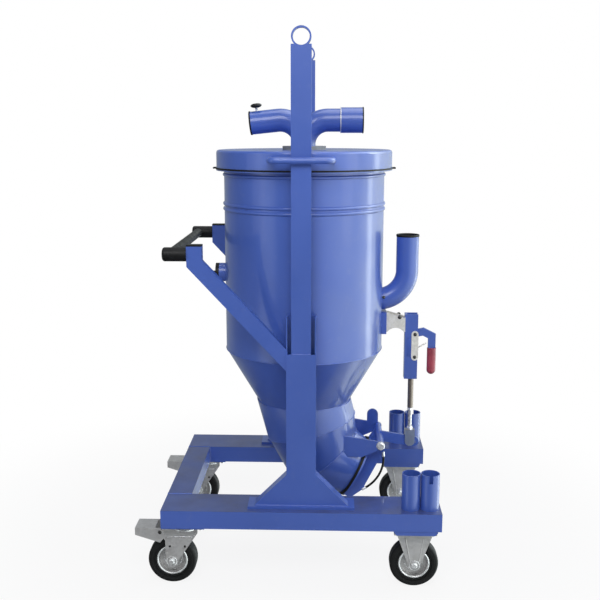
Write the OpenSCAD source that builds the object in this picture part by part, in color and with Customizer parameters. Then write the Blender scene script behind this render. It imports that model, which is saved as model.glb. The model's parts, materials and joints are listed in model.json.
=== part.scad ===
// Mobile pre-separator: a dust hopper on a caster frame, with a toggle-worked discharge flap.
// Millimetres, +Z up, +X towards the discharge side, the push handle on the -X side.

/* [Overall] */
// How far the tank axis lies right of the middle of the overall box
axis_x = 40; // [30:1:50]

/* [Caster frame] */
// Length of the side rails
rail_length = 904; // [890:2:960]
// Reach of the rails' outer faces beyond the posts
rail_over = 37; // [33:1:60]
// Width of a side rail, an inverted channel
rail_width = 140; // [132:2:160]
// Height of a side rail
rail_height = 60; // [50:1:80]
// Sheet thickness of the rails
rail_wall = 6; // [4:0.5:8]
// Width of the cross member at the handle end
cross_width = 82; // [60:2:120]
// Height of the rails' lower edge above the floor
rail_bottom = 214; // [210:1:224]

/* [Caster pads] */
// Length of a pad plate under a rail
pad_length = 140; // [136:1:140]
// Width of a pad plate
pad_width = 134; // [131:1:138]
// Thickness of the pads under the swivel casters
swivel_pad_t = 4; // [3:0.5:6]
// Thickness of the pads under the fixed casters
fixed_pad_t = 15; // [10:0.5:18]
// Bevel at the ends of the thick pads
pad_bevel = 9; // [4:0.5:9]

/* [Casters] */
// Radius of the wheels
wheel_r = 80; // [76:0.5:81]
// Width of the tyre tread
tyre_width = 46; // [40:1:48]
// Radius at which the tyre sits on the rim
rim_r = 51; // [46:0.5:56]
// Width of the rim at the tyre
rim_width = 40; // [34:1:42]
// Radius of the wheel hub
hub_r = 17; // [14:0.5:22]
// Length of the wheel hub
hub_length = 52; // [48:0.5:54]
// Radius of the axle bolt
axle_r = 6; // [5:0.25:8]
// Free width between the fork cheeks
fork_gap = 56; // [55:0.5:58]
// Sheet thickness of the forks
fork_wall = 4; // [3:0.5:5]
// Trail of the swivel casters
trail = 44; // [38:1:48]
// Distance of the swivel axes from the tank axis
swivel_x = 382; // [374:1:390]
// Distance of the fixed axles from the tank axis
fixed_x = 370; // [360:1:374]
// Length of a caster top plate
plate_length = 138; // [120:1:140]
// Width of a caster top plate
plate_width = 110; // [90:1:112]
// Radius of the forks' rounded ends
boss_r = 21; // [19:0.5:24]
// Depth of the swivel fork's short edge below its crown
crown_edge = 16; // [10:0.5:20]
// Half width of the forks' cheeks at the axle
cheek_half = 20; // [16:0.5:21]
// Height of the bend in the swivel fork's long edge below its crown
cheek_bend = 44; // [40:0.5:50]
// Inset of the fixed fork's cheeks from the ends of their plate
cheek_in = 8; // [4:0.5:12]
// Height of the pressed panel on the fixed fork's cheeks
panel_t = 2; // [1:0.25:3]
// Half width of the pressed panel at its lower end
panel_half = 11; // [8:0.5:14]
// Half width of the pressed panel at its upper end
panel_top = 32; // [24:0.5:40]
// Thickness of the rim's disc and seat
rim_web = 6; // [4:0.5:8]
// Edge rounding of the tyres
tyre_round = 9; // [6:0.5:11]
// Thickness of a caster top plate
plate_t = 5; // [4:0.5:6]
// Radius of the king pin
king_r = 10; // [8:0.25:12]
// Outer radius of the swivel head
head_r = 43; // [36:0.5:45]
// Depth of the fixed race below the top plate
race_t = 8; // [6:0.5:9]
// Gap between the race and the turning fork
race_gap = 0.3; // [0.2:0.05:0.4]
// Radial running clearance of pins and axles
fit = 0.05; // [0.03:0.01:0.08]

/* [Brake pedals] */
// Distance from the swivel axis to the pedal pin
pedal_pin_x = 80; // [76:0.5:84]
// Depth of the pedal pin below the fork's crown
pedal_down = 13; // [12:0.25:15]
// Radius of the pedal pin
pedal_pin_r = 4; // [3:0.25:4.5]
// Radius of the fork's ears round the pedal pin
ear_r = 10; // [8:0.25:11]
// Reach of the pedal beyond its pin
pedal_reach = 82; // [60:1:90]
// Gap of the pedal's skirts to the fork
pedal_gap = 1; // [0.8:0.1:1.5]
// Sheet thickness of the pedal
pedal_wall = 3; // [2:0.25:4]
// Height of the pedal's top above its pin
pedal_rise = 14; // [12:0.5:15]
// Height of the pedal's tip
pedal_tip = 24; // [18:0.5:28]
// Depth of the skirts below the pin
skirt_down = 36; // [28:0.5:40]
// Reach of the skirts past the pin, towards the swivel axis
skirt_past = 14; // [11:0.5:16]
// Length of the pedal's top plate
tread_length = 66; // [50:1:68]

/* [Tool sockets] */
// Outer radius of a socket pipe
socket_r = 30.15; // [26:0.05:30.15]
// Wall of a socket pipe
socket_wall = 3; // [2:0.25:4]
// Height of a socket
socket_h = 119; // [90:1:140]
// Distance of the outer socket from the rail end
socket_end = 36; // [34:1:44]
// Distance of the sockets from the rail's outer face
socket_in = 50; // [44:1:70]
// Width of the slot in the slotted sockets
socket_slot = 12; // [8:0.5:16]
// Depth of the slot
socket_slot_h = 26; // [16:1:40]

/* [Posts] */
// Distance of the posts' outer face from the tank
post_off = 60; // [58:1:66]
// Width of the post channel
post_width = 94; // [88:1:104]
// Depth of the post channel
post_depth = 47; // [45:0.5:49]
// Sheet thickness of the posts
post_wall = 4; // [3:0.5:5]
// Width of the pads on the posts that carry the tank
tank_pad_width = 70; // [50:1:80]
// Height of these pads
tank_pad_h = 110; // [80:1:120]
// Distance of these pads from the tank's lower edge
tank_pad_up = 30; // [20:1:40]
// Height of the post channel above the rails
post_up = 628; // [600:2:650]
// Height of the cover plate's top edge above the rails
cover_up = 511; // [490:1:540]
// Height above the rails at which the foot starts to flare
flare_up = 113; // [90:1:140]
// Depth of the flange bent back from the flared edges
flare_depth = 40; // [30:1:44]
// Length of the base plate
base_length = 345; // [320:1:380]
// Width of the base plate
base_width = 80; // [66:1:84]
// Thickness of the base plate
base_t = 8; // [6:0.5:12]

/* [Lift bars] */
// Width of the lift bar
bar_width = 62; // [56:1:70]
// Depth of the lift bar
bar_depth = 25; // [20:0.5:26]
// Wall of the lift bar
bar_wall = 3; // [2.5:0.25:5]
// Length of the bar behind the cover plate
bar_lap = 110; // [80:2:160]
// Outer radius of the lifting eye
eye_r = 30.15; // [27:0.05:32]
// Wall of the lifting eye
eye_wall = 5; // [4:0.25:7]
// Height of the lifting eye's centre above the rails
eye_up = 1474; // [1440:1:1510]
// Depth to which the eye sits in the bar
eye_seat = 8; // [6:0.5:12]

/* [Push handle] */
// Height of the arms in side view
arm_size = 48; // [40:1:54]
// Depth of the arms
arm_depth = 30; // [24:1:36]
// Wall of the arms
arm_wall = 3; // [2.5:0.25:4]
// Distance of the arms' upright end from the tank
arm_out = 61; // [50:1:74]
// Height of the arms' top end above the rails
arm_up = 850; // [840:1:870]
// Depth of the bend in the arms below their top end
arm_bend_down = 54; // [48:1:64]
// Height above the rails at which the arm meets the post
arm_foot_up = 491; // [470:1:510]
// Thickness of the end caps
cap_t = 5; // [3:0.5:8]
// Radius of the handle legs
leg_r = 22; // [18:0.5:23]
// Length of the handle legs
leg_length = 76; // [64:1:90]
// Depth of the handle legs below the arms' top end
leg_down = 26; // [24:1:30]
// Radius of the cross grip
grip_r = 15.5; // [13:0.5:17]
// Distance of the cross grip from the leg ends
grip_in = 24; // [20:1:30]
// Edge rounding of the legs
leg_round = 8; // [4:0.5:10]

/* [Tank] */
// Outer radius of the tank
tank_r = 270; // [262:1:272]
// Sheet thickness of the tank
tank_wall = 3; // [2:0.25:4]
// Height of the cylinder's lower edge above the rails
tank_up = 461; // [450:1:480]
// Height of the cylinder
tank_h = 614; // [589:1:629]
// Reach of the rolled beads
bead_r = 6; // [4:0.5:8]
// Depth of the double bead below the tank's edge
bead_down = 123; // [95:1:145]
// Distance between the two beads
bead_gap = 17; // [17:0.5:24]
// Distance of the upper bead below the tank's edge
bead_top = 18; // [14:0.5:24]
// Reach of the tank's top flange
flange_out = 26; // [22:0.5:27]
// Thickness of the top flange
flange_t = 4; // [3:0.5:6]

/* [Lid] */
// Reach of the lid beyond the tank
lid_out = 25; // [20:0.5:26]
// Height of the lid's rim
lid_h = 58; // [48:1:70]
// Sheet thickness of the lid
lid_wall = 3; // [2:0.25:4]
// Edge rounding of the lid
lid_round = 9; // [5:0.5:14]
// Reach of the gasket beyond the tank
gasket_out = 28; // [27.5:0.25:29]
// Thickness of the gasket
gasket_t = 5; // [4:0.5:8]
// Width of the gasket's pull tabs
tab_width = 40; // [24:1:50]
// Reach of the pull tabs beyond the gasket
tab_reach = 9; // [6:0.5:12]
// Radius of the lid loops' bar
loop_r = 10; // [8:0.5:11]
// Distance between the legs of a lid loop
loop_span = 190; // [170:2:210]
// Bend radius of the lid loops
loop_bend = 20; // [16:1:28]
// Clearance between a lid loop and the lift bar
loop_clear = 4; // [2:0.5:8]
// Height of the loops above the lid's lower edge
loop_z = 32; // [24:1:40]

/* [Suction outlets] */
// Outer radius of the outlet pipes
pipe_r = 38.05; // [36:0.05:40]
// Wall of the pipes
pipe_wall = 2.6; // [2:0.1:3.6]
// Height of the outlet axis above the lid
outlet_z = 97; // [94:1:110]
// Bend radius of the outlet pipes
outlet_bend = 80; // [76:1:84]
// Reach of the right outlet from the tank axis
outlet_right = 197; // [180:1:220]
// Start of the sleeve on the right outlet
sleeve_start = 122; // [110:1:140]
// Outer radius of the sleeve
sleeve_r = 42; // [41:0.25:45]
// Reach of the left outlet from the tank axis
outlet_left = 181; // [176:1:200]
// Droop of the left outlet
outlet_droop = 6; // [2:0.5:10]
// Radius of the outlet flange
outlet_flange_r = 73; // [60:1:90]
// Thickness of the outlet flange
outlet_flange_t = 12; // [8:0.5:16]
// Distance of the clamp screw from the left pipe's end
knob_in = 26; // [22:1:34]
// Radius of the screw's head
knob_r = 19; // [14:0.5:22]
// Height of the screw's head
knob_h = 15; // [10:0.5:20]
// Radius of the screw's stem
knob_stem_r = 5; // [4:0.25:6]
// Visible length of the stem
knob_stem_h = 10; // [6:0.5:16]

/* [Suction inlet] */
// Height of the inlet's level run above the tank's lower edge
inlet_up = 168; // [163:1:179]
// Distance of the inlet's upright leg from the tank
inlet_out = 84; // [76:1:92]
// Bend radius of the inlet
inlet_bend = 100; // [92:1:106]
// Height of the inlet's mouth above its level run
inlet_rise = 223; // [181:1:241]

/* [Side port] */
// Height of the port above the tank's lower edge
port_up = 259; // [249:1:289]
// Radius of the port's socket
port_r = 32; // [26:0.5:36]
// Wall of the port's socket
port_wall = 6; // [4:0.5:8]
// Length of the socket outside the tank
port_length = 22; // [16:0.5:30]
// Thickness of the port's cap
port_cap_t = 12; // [8:0.5:16]
// Radius of the stud on the cap
port_stud_r = 5; // [4:0.25:7]
// Length of the stud
port_stud_h = 26; // [18:0.5:34]

/* [Hopper and discharge elbow] */
// Radius of the cone's lower end
throat_r = 160; // [154:0.5:164]
// Height of the cone
cone_h = 189; // [181:1:195]
// Sheet thickness of cone and elbow
hopper_wall = 3; // [2.5:0.25:4]
// Step from each gore of the elbow to the next, where they lap
seam_lap = 1; // [0.9:0.1:1.4]
// Sideways step of the elbow's first bend
bend1_x = 22; // [16:1:28]
// Depth of the elbow's first bend below the cone
bend1_down = 82; // [74:1:88]
// Radius of the ball that the elbow's first bend fits round
bend1_r = 160; // [156:0.5:163]
// Radius of the ball that the elbow's second bend fits round
bend2_r = 138; // [134:0.5:142]
// Distance of the outlet's centre from the tank axis
mouth_x = 175; // [170:1:178]
// Depth of the outlet's centre below the cone
mouth_down = 249; // [244:1:252]
// Radius of the outlet
mouth_r = 106; // [102:0.5:108]
// Angle of the outlet's axis below the level
mouth_angle = 27.1; // [25:0.1:29]
// Length of the last gore along its axis
mouth_run = 135; // [130:1:138]

/* [Discharge flap] */
// Distance of the hinge pin from the outlet's centre, along the flap
hinge_up = 141; // [138:0.5:146]
// Distance of the hinge pin from the outlet plane
hinge_out = 32; // [30:0.5:36]
// Radius of the hinge pin
hinge_r = 8; // [7:0.25:9]
// Wall of the flap's hinge tube
hinge_wall = 5; // [4:0.25:6]
// Distance of the bracket plates from the middle plane
bracket_y = 100; // [94:0.5:104]
// Thickness of the bracket plates
bracket_t = 8; // [6:0.5:10]
// Reach of the bracket plates back over the elbow
bracket_back = 130; // [122:1:134]
// Height of the bracket plates' back edge above the hinge pin
bracket_rise = 34; // [28:1:44]
// Depth of the bracket plates' back edge below the hinge pin
bracket_fall = 42; // [30:1:46]
// Radius of the lug on the far bracket plate
lug_r = 20; // [16:0.5:22]
// Height of the lug's centre above the hinge pin
lug_up = 45; // [38:0.5:50]
// Distance of the lug's centre behind the hinge pin
lug_back = 19; // [16:0.5:24]
// End clearance between hinge tube and brackets
hinge_gap = 1; // [0.5:0.1:2]
// Radius of the flap disc and its seal
flap_r = 113; // [111:0.5:114]
// Thickness of the seal
seal_t = 8; // [6:0.5:10]
// Width of the seal ring
seal_width = 20; // [14:1:24]
// Gap of the seal to the outlet's edge
seal_gap = 0.3; // [0.2:0.05:0.5]
// Thickness of the flap disc
flap_t = 6; // [4:0.5:8]
// Height of the flap's ribs
rib_h = 46; // [40:0.5:50]
// Thickness of the ribs
rib_t = 8; // [6:0.5:10]
// Distance of the ribs from the middle plane
rib_y = 60; // [50:1:70]
// Reach of the ribs below the flap's centre
rib_down = 92; // [80:1:98]

/* [Earthing cable] */
// Radius of the cable
cable_r = 4; // [3:0.25:5]
// Length that the cable spans on the near rib
cable_span = 156; // [140:1:160]
// Height of the cable's bow over the rib's edge
cable_bow = 27; // [20:0.5:32]
// Place of the bow's middle above the flap's centre
cable_up = 32; // [28:1:34]

/* [Flap lever] */
// Distance of the plunger rod from the clamp's back
rod_back = 25.7; // [25:0.1:27]
// Height of the lever
lever_h = 36; // [32:0.5:38]
// Thickness of the lever
lever_t = 10; // [8:0.5:12]
// Angle of the lever below the level
lever_angle = 9; // [7:0.5:10]
// Width of the slot for the clevis pin
lever_slot = 17; // [16:0.25:18]
// Length of the slot beyond the pin
slot_run = 16; // [15:0.5:18]

/* [Toggle clamp] */
// Radius of the plunger rod
rod_r = 10; // [9:0.25:11]
// Radius of the rod's threaded end
stud_r = 6; // [5:0.25:7]
// Length of the rod's thick part below the clamp body
rod_out = 108; // [98:1:118]
// Length of the rod inside the guide block
rod_in = 57; // [42:1:62]
// Width of the clevis
clevis_width = 34; // [30:0.5:38]
// Thickness of a clevis cheek
clevis_t = 7; // [5:0.25:8]
// Side clearance between clevis and lever
clevis_gap = 1; // [0.5:0.1:2]
// Room above the clevis pin
clevis_room = 32; // [31:0.5:36]
// Thickness of the clevis bridge
clevis_bridge = 10; // [8:0.5:14]
// Radius of the clevis pin
clevis_pin_r = 5; // [4:0.25:5.5]
// Height of the clamp body
clamp_h = 230; // [222:1:238]
// Height of the clamp's upper end above the saddle's lower edge
clamp_up = 64; // [58:1:70]
// Distance of the clamp's back from the tank
clamp_out = 80; // [76:0.5:82]
// Thickness of the clamp's back web
clamp_web = 8; // [6:0.5:9]
// Outer width of the clamp body
clamp_width = 36; // [32:0.5:40]
// Depth of the clamp body
clamp_depth = 45; // [42:0.5:48]
// Thickness of the clamp's side walls
clamp_wall = 4; // [3:0.25:5]
// Height of the guide block at the lower end
guide_h = 82; // [78:1:86]
// Height of the side walls at the upper end
cheek_h = 84; // [80:1:88]
// Height of the lever pivot below the clamp's top
pivot_down = 70; // [66:0.5:72]
// Distance of the lever pivot from the clamp's back
pivot_x = 35; // [33:0.5:37]
// Radius of the lever pivot pin
pivot_r = 5; // [4:0.25:6]
// Thickness of the side plates
link_t = 3; // [2:0.25:4]
// Width of the side plates
link_width = 24; // [20:0.5:26]
// Length of the side plates between their pins
link_length = 81; // [76:0.5:86]
// Thickness of the hand lever
hand_t = 12; // [10:0.5:14]
// Width of the hand lever
hand_width = 26; // [22:0.5:28]
// Sideways reach of the hand lever
hand_reach = 60; // [54:0.5:64]
// Rise of the hand lever before its knee
hand_rise = 6; // [4:0.5:7]
// Fall of the hand lever to its knee
hand_fall = 9; // [6:0.5:12]
// Radius of the hand lever's hub
hand_hub = 15.5; // [14:0.25:16]
// Drop of the hand lever to the grip
hand_drop = 52; // [46:0.5:56]
// Radius of the red grip
red_r = 15.5; // [13:0.25:17]
// Length of the red grip
red_length = 94; // [80:1:100]

/* [Clamp bracket] */
// Thickness of the saddle plate on the tank
saddle_t = 14; // [10:0.5:16]
// Width of the saddle plate
saddle_width = 90; // [76:1:100]
// Height of the saddle plate above the tank's lower edge
saddle_up = 53; // [47:1:57]
// Height of the saddle plate
saddle_h = 74; // [66:1:75]
// Sheet thickness of the bracket
bracket_wall = 5; // [4:0.5:6]
// Width of the bracket
bracket_width = 52; // [46:1:60]
// Height of the bracket
bracket_h = 66; // [58:1:68]
// Fall of the bracket's top edge to the clamp
bracket_slope = 18; // [10:1:24]
// Rise of the arch in the bracket's lower edge
bracket_arch = 14; // [8:0.5:18]

/* [Hidden] */
$fn = 96;
eps = 0.5;
big = 900;
blue = [0.20, 0.30, 0.64];
zinc = [0.66, 0.65, 0.63];
black = [0.10, 0.10, 0.11];
red = [0.62, 0.16, 0.20];
steel = [0.48, 0.47, 0.46];
rail_top = rail_bottom + rail_height;
post_out = tank_r + post_off;
frame_width = 2 * (post_out + rail_over);
post_top = rail_top + post_up;
cover_top = rail_top + cover_up;
flare_top = rail_top + flare_up;
eye_z = rail_top + eye_up;
arm_x = tank_r + arm_out;
arm_top = rail_top + arm_up;
arm_bend = arm_top - arm_bend_down;
arm_foot = rail_top + arm_foot_up;
leg_z = arm_top - leg_down;
tank_bottom = rail_top + tank_up;
tank_top = tank_bottom + tank_h;
bead_z = tank_top - bead_down;
flange_r = tank_r + flange_out;
lid_r = tank_r + lid_out;
gasket_r = tank_r + gasket_out;
inlet_x = tank_r + inlet_out;
inlet_z = tank_bottom + inlet_up;
inlet_top = inlet_z + inlet_rise;
port_z = tank_bottom + port_up;
throat_z = tank_bottom - cone_h;
bend1_z = throat_z - bend1_down;
mouth_z = throat_z - mouth_down;
saddle_bottom = tank_bottom + saddle_up;
clamp_x = tank_r + clamp_out;
clamp_top = saddle_bottom + clamp_up;
clamp_bottom = clamp_top - clamp_h;
rod_end = clamp_bottom - rod_out;
rod_top = clamp_bottom + rod_in;
rail_y = frame_width / 2 - rail_width / 2;
rail_x = rail_length / 2;
cover_t = post_wall;
channel_out = post_out - cover_t;
channel_in = channel_out - post_depth;
base_top = rail_top + base_t;
bar_in = channel_out - bar_depth;
flare_run = flare_top - base_top;
arm_y = channel_out - arm_depth / 2;
lid_bottom = tank_top + gasket_t;
lid_top = lid_bottom + lid_h;
outlet_axis = lid_top + outlet_z;
left_run = (outlet_left - outlet_bend - outlet_bend * sin(outlet_droop)) / cos(outlet_droop);
plate_z = rail_bottom - swivel_pad_t - plate_t;
crown_top = plate_z - race_t - race_gap;
crown_z = crown_top - fork_wall;
fixed_plate_z = rail_bottom - fixed_pad_t - plate_t;
cheek_y = fork_gap / 2;
pedal_z = crown_top - pedal_down;
mouth_n = [cos(mouth_angle), -sin(mouth_angle)];
mouth_u = [sin(mouth_angle), cos(mouth_angle)];
mouth_c = [mouth_x, mouth_z];
// Bend points of the elbow's axis, each with the radius of the ball that both gores touch there
elbow_v = [[0, throat_z], [bend1_x, bend1_z], mouth_c - mouth_run * mouth_n, mouth_c];
elbow_r = [throat_r, bend1_r, bend2_r, mouth_r];
hinge_c = mouth_c + hinge_up * mouth_u + hinge_out * mouth_n;
rod_x = clamp_x + rod_back;
lever_reach = rod_x - hinge_c[0];
pin_z = hinge_c[1] - lever_reach * tan(lever_angle);
pivot_c = [clamp_x + pivot_x, clamp_top - pivot_down];

function unit(v) = v / norm(v);
function turn(v, a) = [v[0] * cos(a) - v[1] * sin(a), v[0] * sin(a) + v[1] * cos(a)];
// Point where the line through p along d meets the line through q along e
function meet(p, d, q, e) =
  p + d * ((q[0] - p[0]) * e[1] - (q[1] - p[1]) * e[0]) / (d[0] * e[1] - d[1] * e[0]);

module at_axis() { translate([axis_x, 0, 0]) children(); }
// Draws the near side's piece on the near side, or its mirror image on the far side
module on_side(far) { mirror([0, far ? 1 : 0, 0]) children(); }
module both_sides() { for (far = [false, true]) on_side(far) children(); }
// A flat shape drawn in X and Z, extruded from y0 to y1
module in_plane(y0, y1) {
  translate([0, y1, 0]) rotate([90, 0, 0]) linear_extrude(y1 - y0) children();
}
// A rod along Y between y0 and y1
module y_rod(x, z, r, y0, y1) { translate([x, y0, z]) rotate([-90, 0, 0]) cylinder(r = r, h = y1 - y0); }
module x_rod(x0, x1, z, r) { translate([x0, 0, z]) rotate([0, 90, 0]) cylinder(r = r, h = x1 - x0); }
// A bar outline of width w along the points p, with mitred bends
module strip(p, w) {
  n = len(p);
  d = [for (i = [0 : n - 2]) unit(p[i + 1] - p[i])];
  s = [for (i = [0 : n - 2]) [-d[i][1], d[i][0]] * w / 2];
  function edge(i, k) = i == 0 ? p[0] + k * s[0] : i == n - 1 ? p[i] + k * s[n - 2]
    : meet(p[i] + k * s[i - 1], d[i - 1], p[i] + k * s[i], d[i]);
  polygon(concat([for (i = [0 : n - 1]) edge(i, -1)], [for (i = [n - 1 : -1 : 0]) edge(i, 1)]));
}

// Caster frame

module rail(far) {
  color(blue) at_axis() on_side(far) translate([-rail_x, -frame_width / 2, rail_bottom]) difference() {
    cube([rail_length, rail_width, rail_height]);
    translate([rail_wall, rail_wall, -eps])
      cube([rail_length - 2 * rail_wall, rail_width - 2 * rail_wall, rail_height - rail_wall + eps]);
  }
}
module near_rail() { rail(false); }
module far_rail() { rail(true); }

module cross_member() {
  inner = frame_width - 2 * rail_width;
  color(blue) at_axis() translate([-rail_x, -inner / 2, rail_bottom]) difference() {
    cube([cross_width, inner, rail_height]);
    translate([rail_wall, -eps, -eps])
      cube([cross_width - 2 * rail_wall, inner + 2 * eps, rail_height - rail_wall + eps]);
  }
}

module caster_pads() {
  color(blue) at_axis() both_sides() {
    translate([-swivel_x - pad_length / 2, -rail_y - pad_width / 2, rail_bottom - swivel_pad_t])
      cube([pad_length, pad_width, swivel_pad_t]);
    in_plane(-rail_y - pad_width / 2, -rail_y + pad_width / 2)
      translate([fixed_x, rail_bottom - fixed_pad_t]) polygon([
        [-pad_length / 2 + pad_bevel, 0], [pad_length / 2 - pad_bevel, 0],
        [pad_length / 2, pad_bevel], [pad_length / 2, fixed_pad_t],
        [-pad_length / 2, fixed_pad_t], [-pad_length / 2, pad_bevel]]);
  }
}

module tool_sockets() {
  outer = rail_x - socket_end;
  color(blue) at_axis() both_sides() for (slotted = [false, true])
    translate([slotted ? outer : outer - 2 * socket_r - eps, -frame_width / 2 + socket_in, rail_top])
      difference() {
        cylinder(r = socket_r, h = socket_h);
        translate([0, 0, -eps]) cylinder(r = socket_r - socket_wall, h = socket_h + 2 * eps);
        if (slotted) translate([-socket_slot / 2, -2 * socket_r, socket_h - socket_slot_h])
          cube([socket_slot, 2 * socket_r, socket_slot_h + eps]);
      }
}

// Posts, lift bars and push handle

module base_plates() {
  color(blue) at_axis() both_sides()
    translate([-base_length / 2, -channel_in - post_depth / 2 - base_width / 2, rail_top])
      cube([base_length, base_width, base_t]);
}

module post(far) {
  height = post_top - base_top;
  color(blue) at_axis() on_side(far) {
    translate([-post_width / 2, -channel_out, base_top]) difference() {
      cube([post_width, post_depth, height]);
      translate([post_wall, -eps, -eps])
        cube([post_width - 2 * post_wall, post_depth - post_wall + eps, height + 2 * eps]);
    }
    difference() {
      translate([-tank_pad_width / 2, -channel_in, tank_bottom + tank_pad_up])
        cube([tank_pad_width, channel_in - tank_r / 2, tank_pad_h]);
      cylinder(r = tank_r, h = tank_top);
    }
  }
}
module near_post() { post(false); }
module far_post() { post(true); }

module cover(far) {
  half = post_width / 2;
  edge = cover_t * sqrt(2);
  color(blue) at_axis() on_side(far) {
    in_plane(-post_out, -channel_out) polygon([
      [-half - flare_run, base_top], [half + flare_run, base_top], [half, flare_top],
      [half, cover_top], [-half, cover_top], [-half, flare_top]]);
    for (s = [0, 1]) mirror([s, 0, 0]) in_plane(-channel_out, -channel_out + flare_depth) polygon([
      [half + flare_run, base_top], [half, flare_top], [half, flare_top - edge],
      [half + flare_run - edge, base_top]]);
  }
}
module near_cover() { cover(false); }
module far_cover() { cover(true); }

module lift_bar(far) {
  foot = cover_top - bar_lap;
  top = eye_z - eye_r + eye_seat;
  color(blue) at_axis() on_side(far) {
    difference() {
      translate([-bar_width / 2, -channel_out, foot]) cube([bar_width, bar_depth, top - foot]);
      translate([-bar_width / 2 + bar_wall, -channel_out + bar_wall, foot - eps])
        cube([bar_width - 2 * bar_wall, bar_depth - 2 * bar_wall, top - foot + 2 * eps]);
      y_rod(0, eye_z, eye_r, -channel_out - eps, -bar_in + eps);
    }
    translate([-bar_width / 2, -bar_in, foot])
      cube([bar_width, bar_in - channel_in - post_wall, bar_lap]);
  }
}
module near_lift_bar() { lift_bar(false); }
module far_lift_bar() { lift_bar(true); }

module lift_eyes() {
  color(blue) at_axis() both_sides() difference() {
    y_rod(0, eye_z, eye_r, -channel_out, -bar_in);
    y_rod(0, eye_z, eye_r - eye_wall, -channel_out - eps, -bar_in + eps);
  }
}

module arm(far) {
  path = [[-arm_x, arm_top], [-arm_x, arm_bend], [-post_width / 2, arm_foot]];
  color(blue) at_axis() on_side(far) difference() {
    in_plane(-channel_out, -channel_out + arm_depth) arm_outline(path, arm_size);
    in_plane(-channel_out + arm_wall, -channel_out + arm_depth - arm_wall)
      arm_outline(path, arm_size - 2 * arm_wall);
  }
}
// The bar along the path, run past its lower end and cut off upright at the post
module arm_outline(path, w) {
  d = unit(path[2] - path[1]);
  difference() {
    strip([path[0], path[1], path[2] + w * d], w);
    translate([-post_width / 2, 0]) square([big, 2 * big]);
  }
}
module near_arm() { arm(false); }
module far_arm() { arm(true); }

module push_handle() {
  start = -arm_x - arm_size / 2;
  end = start - leg_length;
  color(black) at_axis() {
    both_sides() {
      translate([-arm_x - arm_size / 2, -channel_out, arm_top]) cube([arm_size, arm_depth, cap_t]);
      translate([start, -arm_y, leg_z]) rotate([0, -90, 0]) rotate_extrude() {
        square([leg_r - leg_round, leg_length]);
        square([leg_r, leg_length - leg_round]);
        translate([leg_r - leg_round, leg_length - leg_round]) intersection() {
          circle(leg_round);
          square(leg_round);
        }
      }
    }
    y_rod(end + grip_in, leg_z, grip_r, -arm_y, arm_y);
  }
}

// Tank, lid and pipes

module tank_shell() {
  color(blue) at_axis() difference() {
    rotate_extrude() {
      translate([tank_r - tank_wall, tank_bottom]) square([tank_wall, tank_top - tank_bottom]);
      for (z = [bead_z - bead_gap / 2, bead_z + bead_gap / 2, tank_top - bead_top]) intersection() {
        translate([tank_r - tank_wall / 2, z]) circle(bead_r);
        translate([tank_r - tank_wall, tank_bottom]) square([big, tank_top - tank_bottom]);
      }
    }
    inlet_run(pipe_r);
    x_rod(-tank_r - eps, -tank_r / 2, port_z, port_r - port_wall);
  }
}

module tank_flange() {
  color(blue) at_axis() translate([0, 0, tank_top - flange_t]) difference() {
    cylinder(r = flange_r, h = flange_t);
    translate([0, 0, -eps]) cylinder(r = tank_r, h = flange_t + 2 * eps);
  }
}

module hopper_cone() {
  slope = (tank_r - throat_r) / (tank_bottom - throat_z);
  side = hopper_wall * sqrt(1 + slope * slope);
  color(blue) at_axis() rotate_extrude() polygon([
    [throat_r, throat_z], [tank_r, tank_bottom], [tank_r - side, tank_bottom], [throat_r - side, throat_z]]);
}

// One gore's cone round the balls at two bend points, w smaller, run on past the seams
module gore_cone(i, w, past_mouth) {
  p = elbow_v[i];
  q = elbow_v[i + 1];
  d = unit(q - p);
  taper = gore_taper(i);
  past = i < 2 ? throat_r : past_mouth;
  inset = i * seam_lap + w;
  r0 = (elbow_r[i] - inset) / cos(taper);
  r1 = (elbow_r[i + 1] - inset) / cos(taper);
  translate([p[0], 0, p[1]]) rotate([0, 90 - atan2(d[1], d[0]), 0]) translate([0, 0, -throat_r])
    cylinder(r1 = r0 + throat_r * tan(taper), r2 = r1 - past * tan(taper),
      h = norm(q - p) + throat_r + past);
}
function gore_taper(i) = asin((elbow_r[i] - elbow_r[i + 1]) / norm(elbow_v[i + 1] - elbow_v[i]));
// Side lines of a gore in the middle plane: a point and a direction, k = 1 outside the bend
function gore_line(i, k) =
  let (e = turn(unit(elbow_v[i + 1] - elbow_v[i]), k * gore_taper(i)))
  [elbow_v[i] + elbow_r[i] * k * [e[1], -e[0]], e];
// Where the side lines of two gores meet, which gives the plane of their seam
function seam(i, k) = i == 0 ? [-k * throat_r, throat_z]
  : let (a = gore_line(i - 1, k), b = gore_line(i, k)) meet(a[0], a[1], b[0], b[1]);
// The half space before (s = 1) or after (s = -1) the seam at bend point i
module seam_cut(i, s) {
  o = seam(i, 1);
  d = unit(seam(i, -1) - o);
  translate([o[0], 0, o[1]]) rotate([0, -atan2(d[1], d[0]), 0])
    translate([-big / 2, -big / 2, s > 0 ? 0 : -big]) cube(big);
}
// One gore, as sheet or as the solid that fills it
module gore(i, sheet = true) {
  difference() {
    gore_cone(i, 0, 0);
    if (sheet) gore_cone(i, hopper_wall, eps);
    seam_cut(i, 1);
    if (i < 2) seam_cut(i + 1, -1);
  }
}
module discharge_elbow() {
  color(blue) at_axis() for (i = [0 : 2]) gore(i);
}

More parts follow.
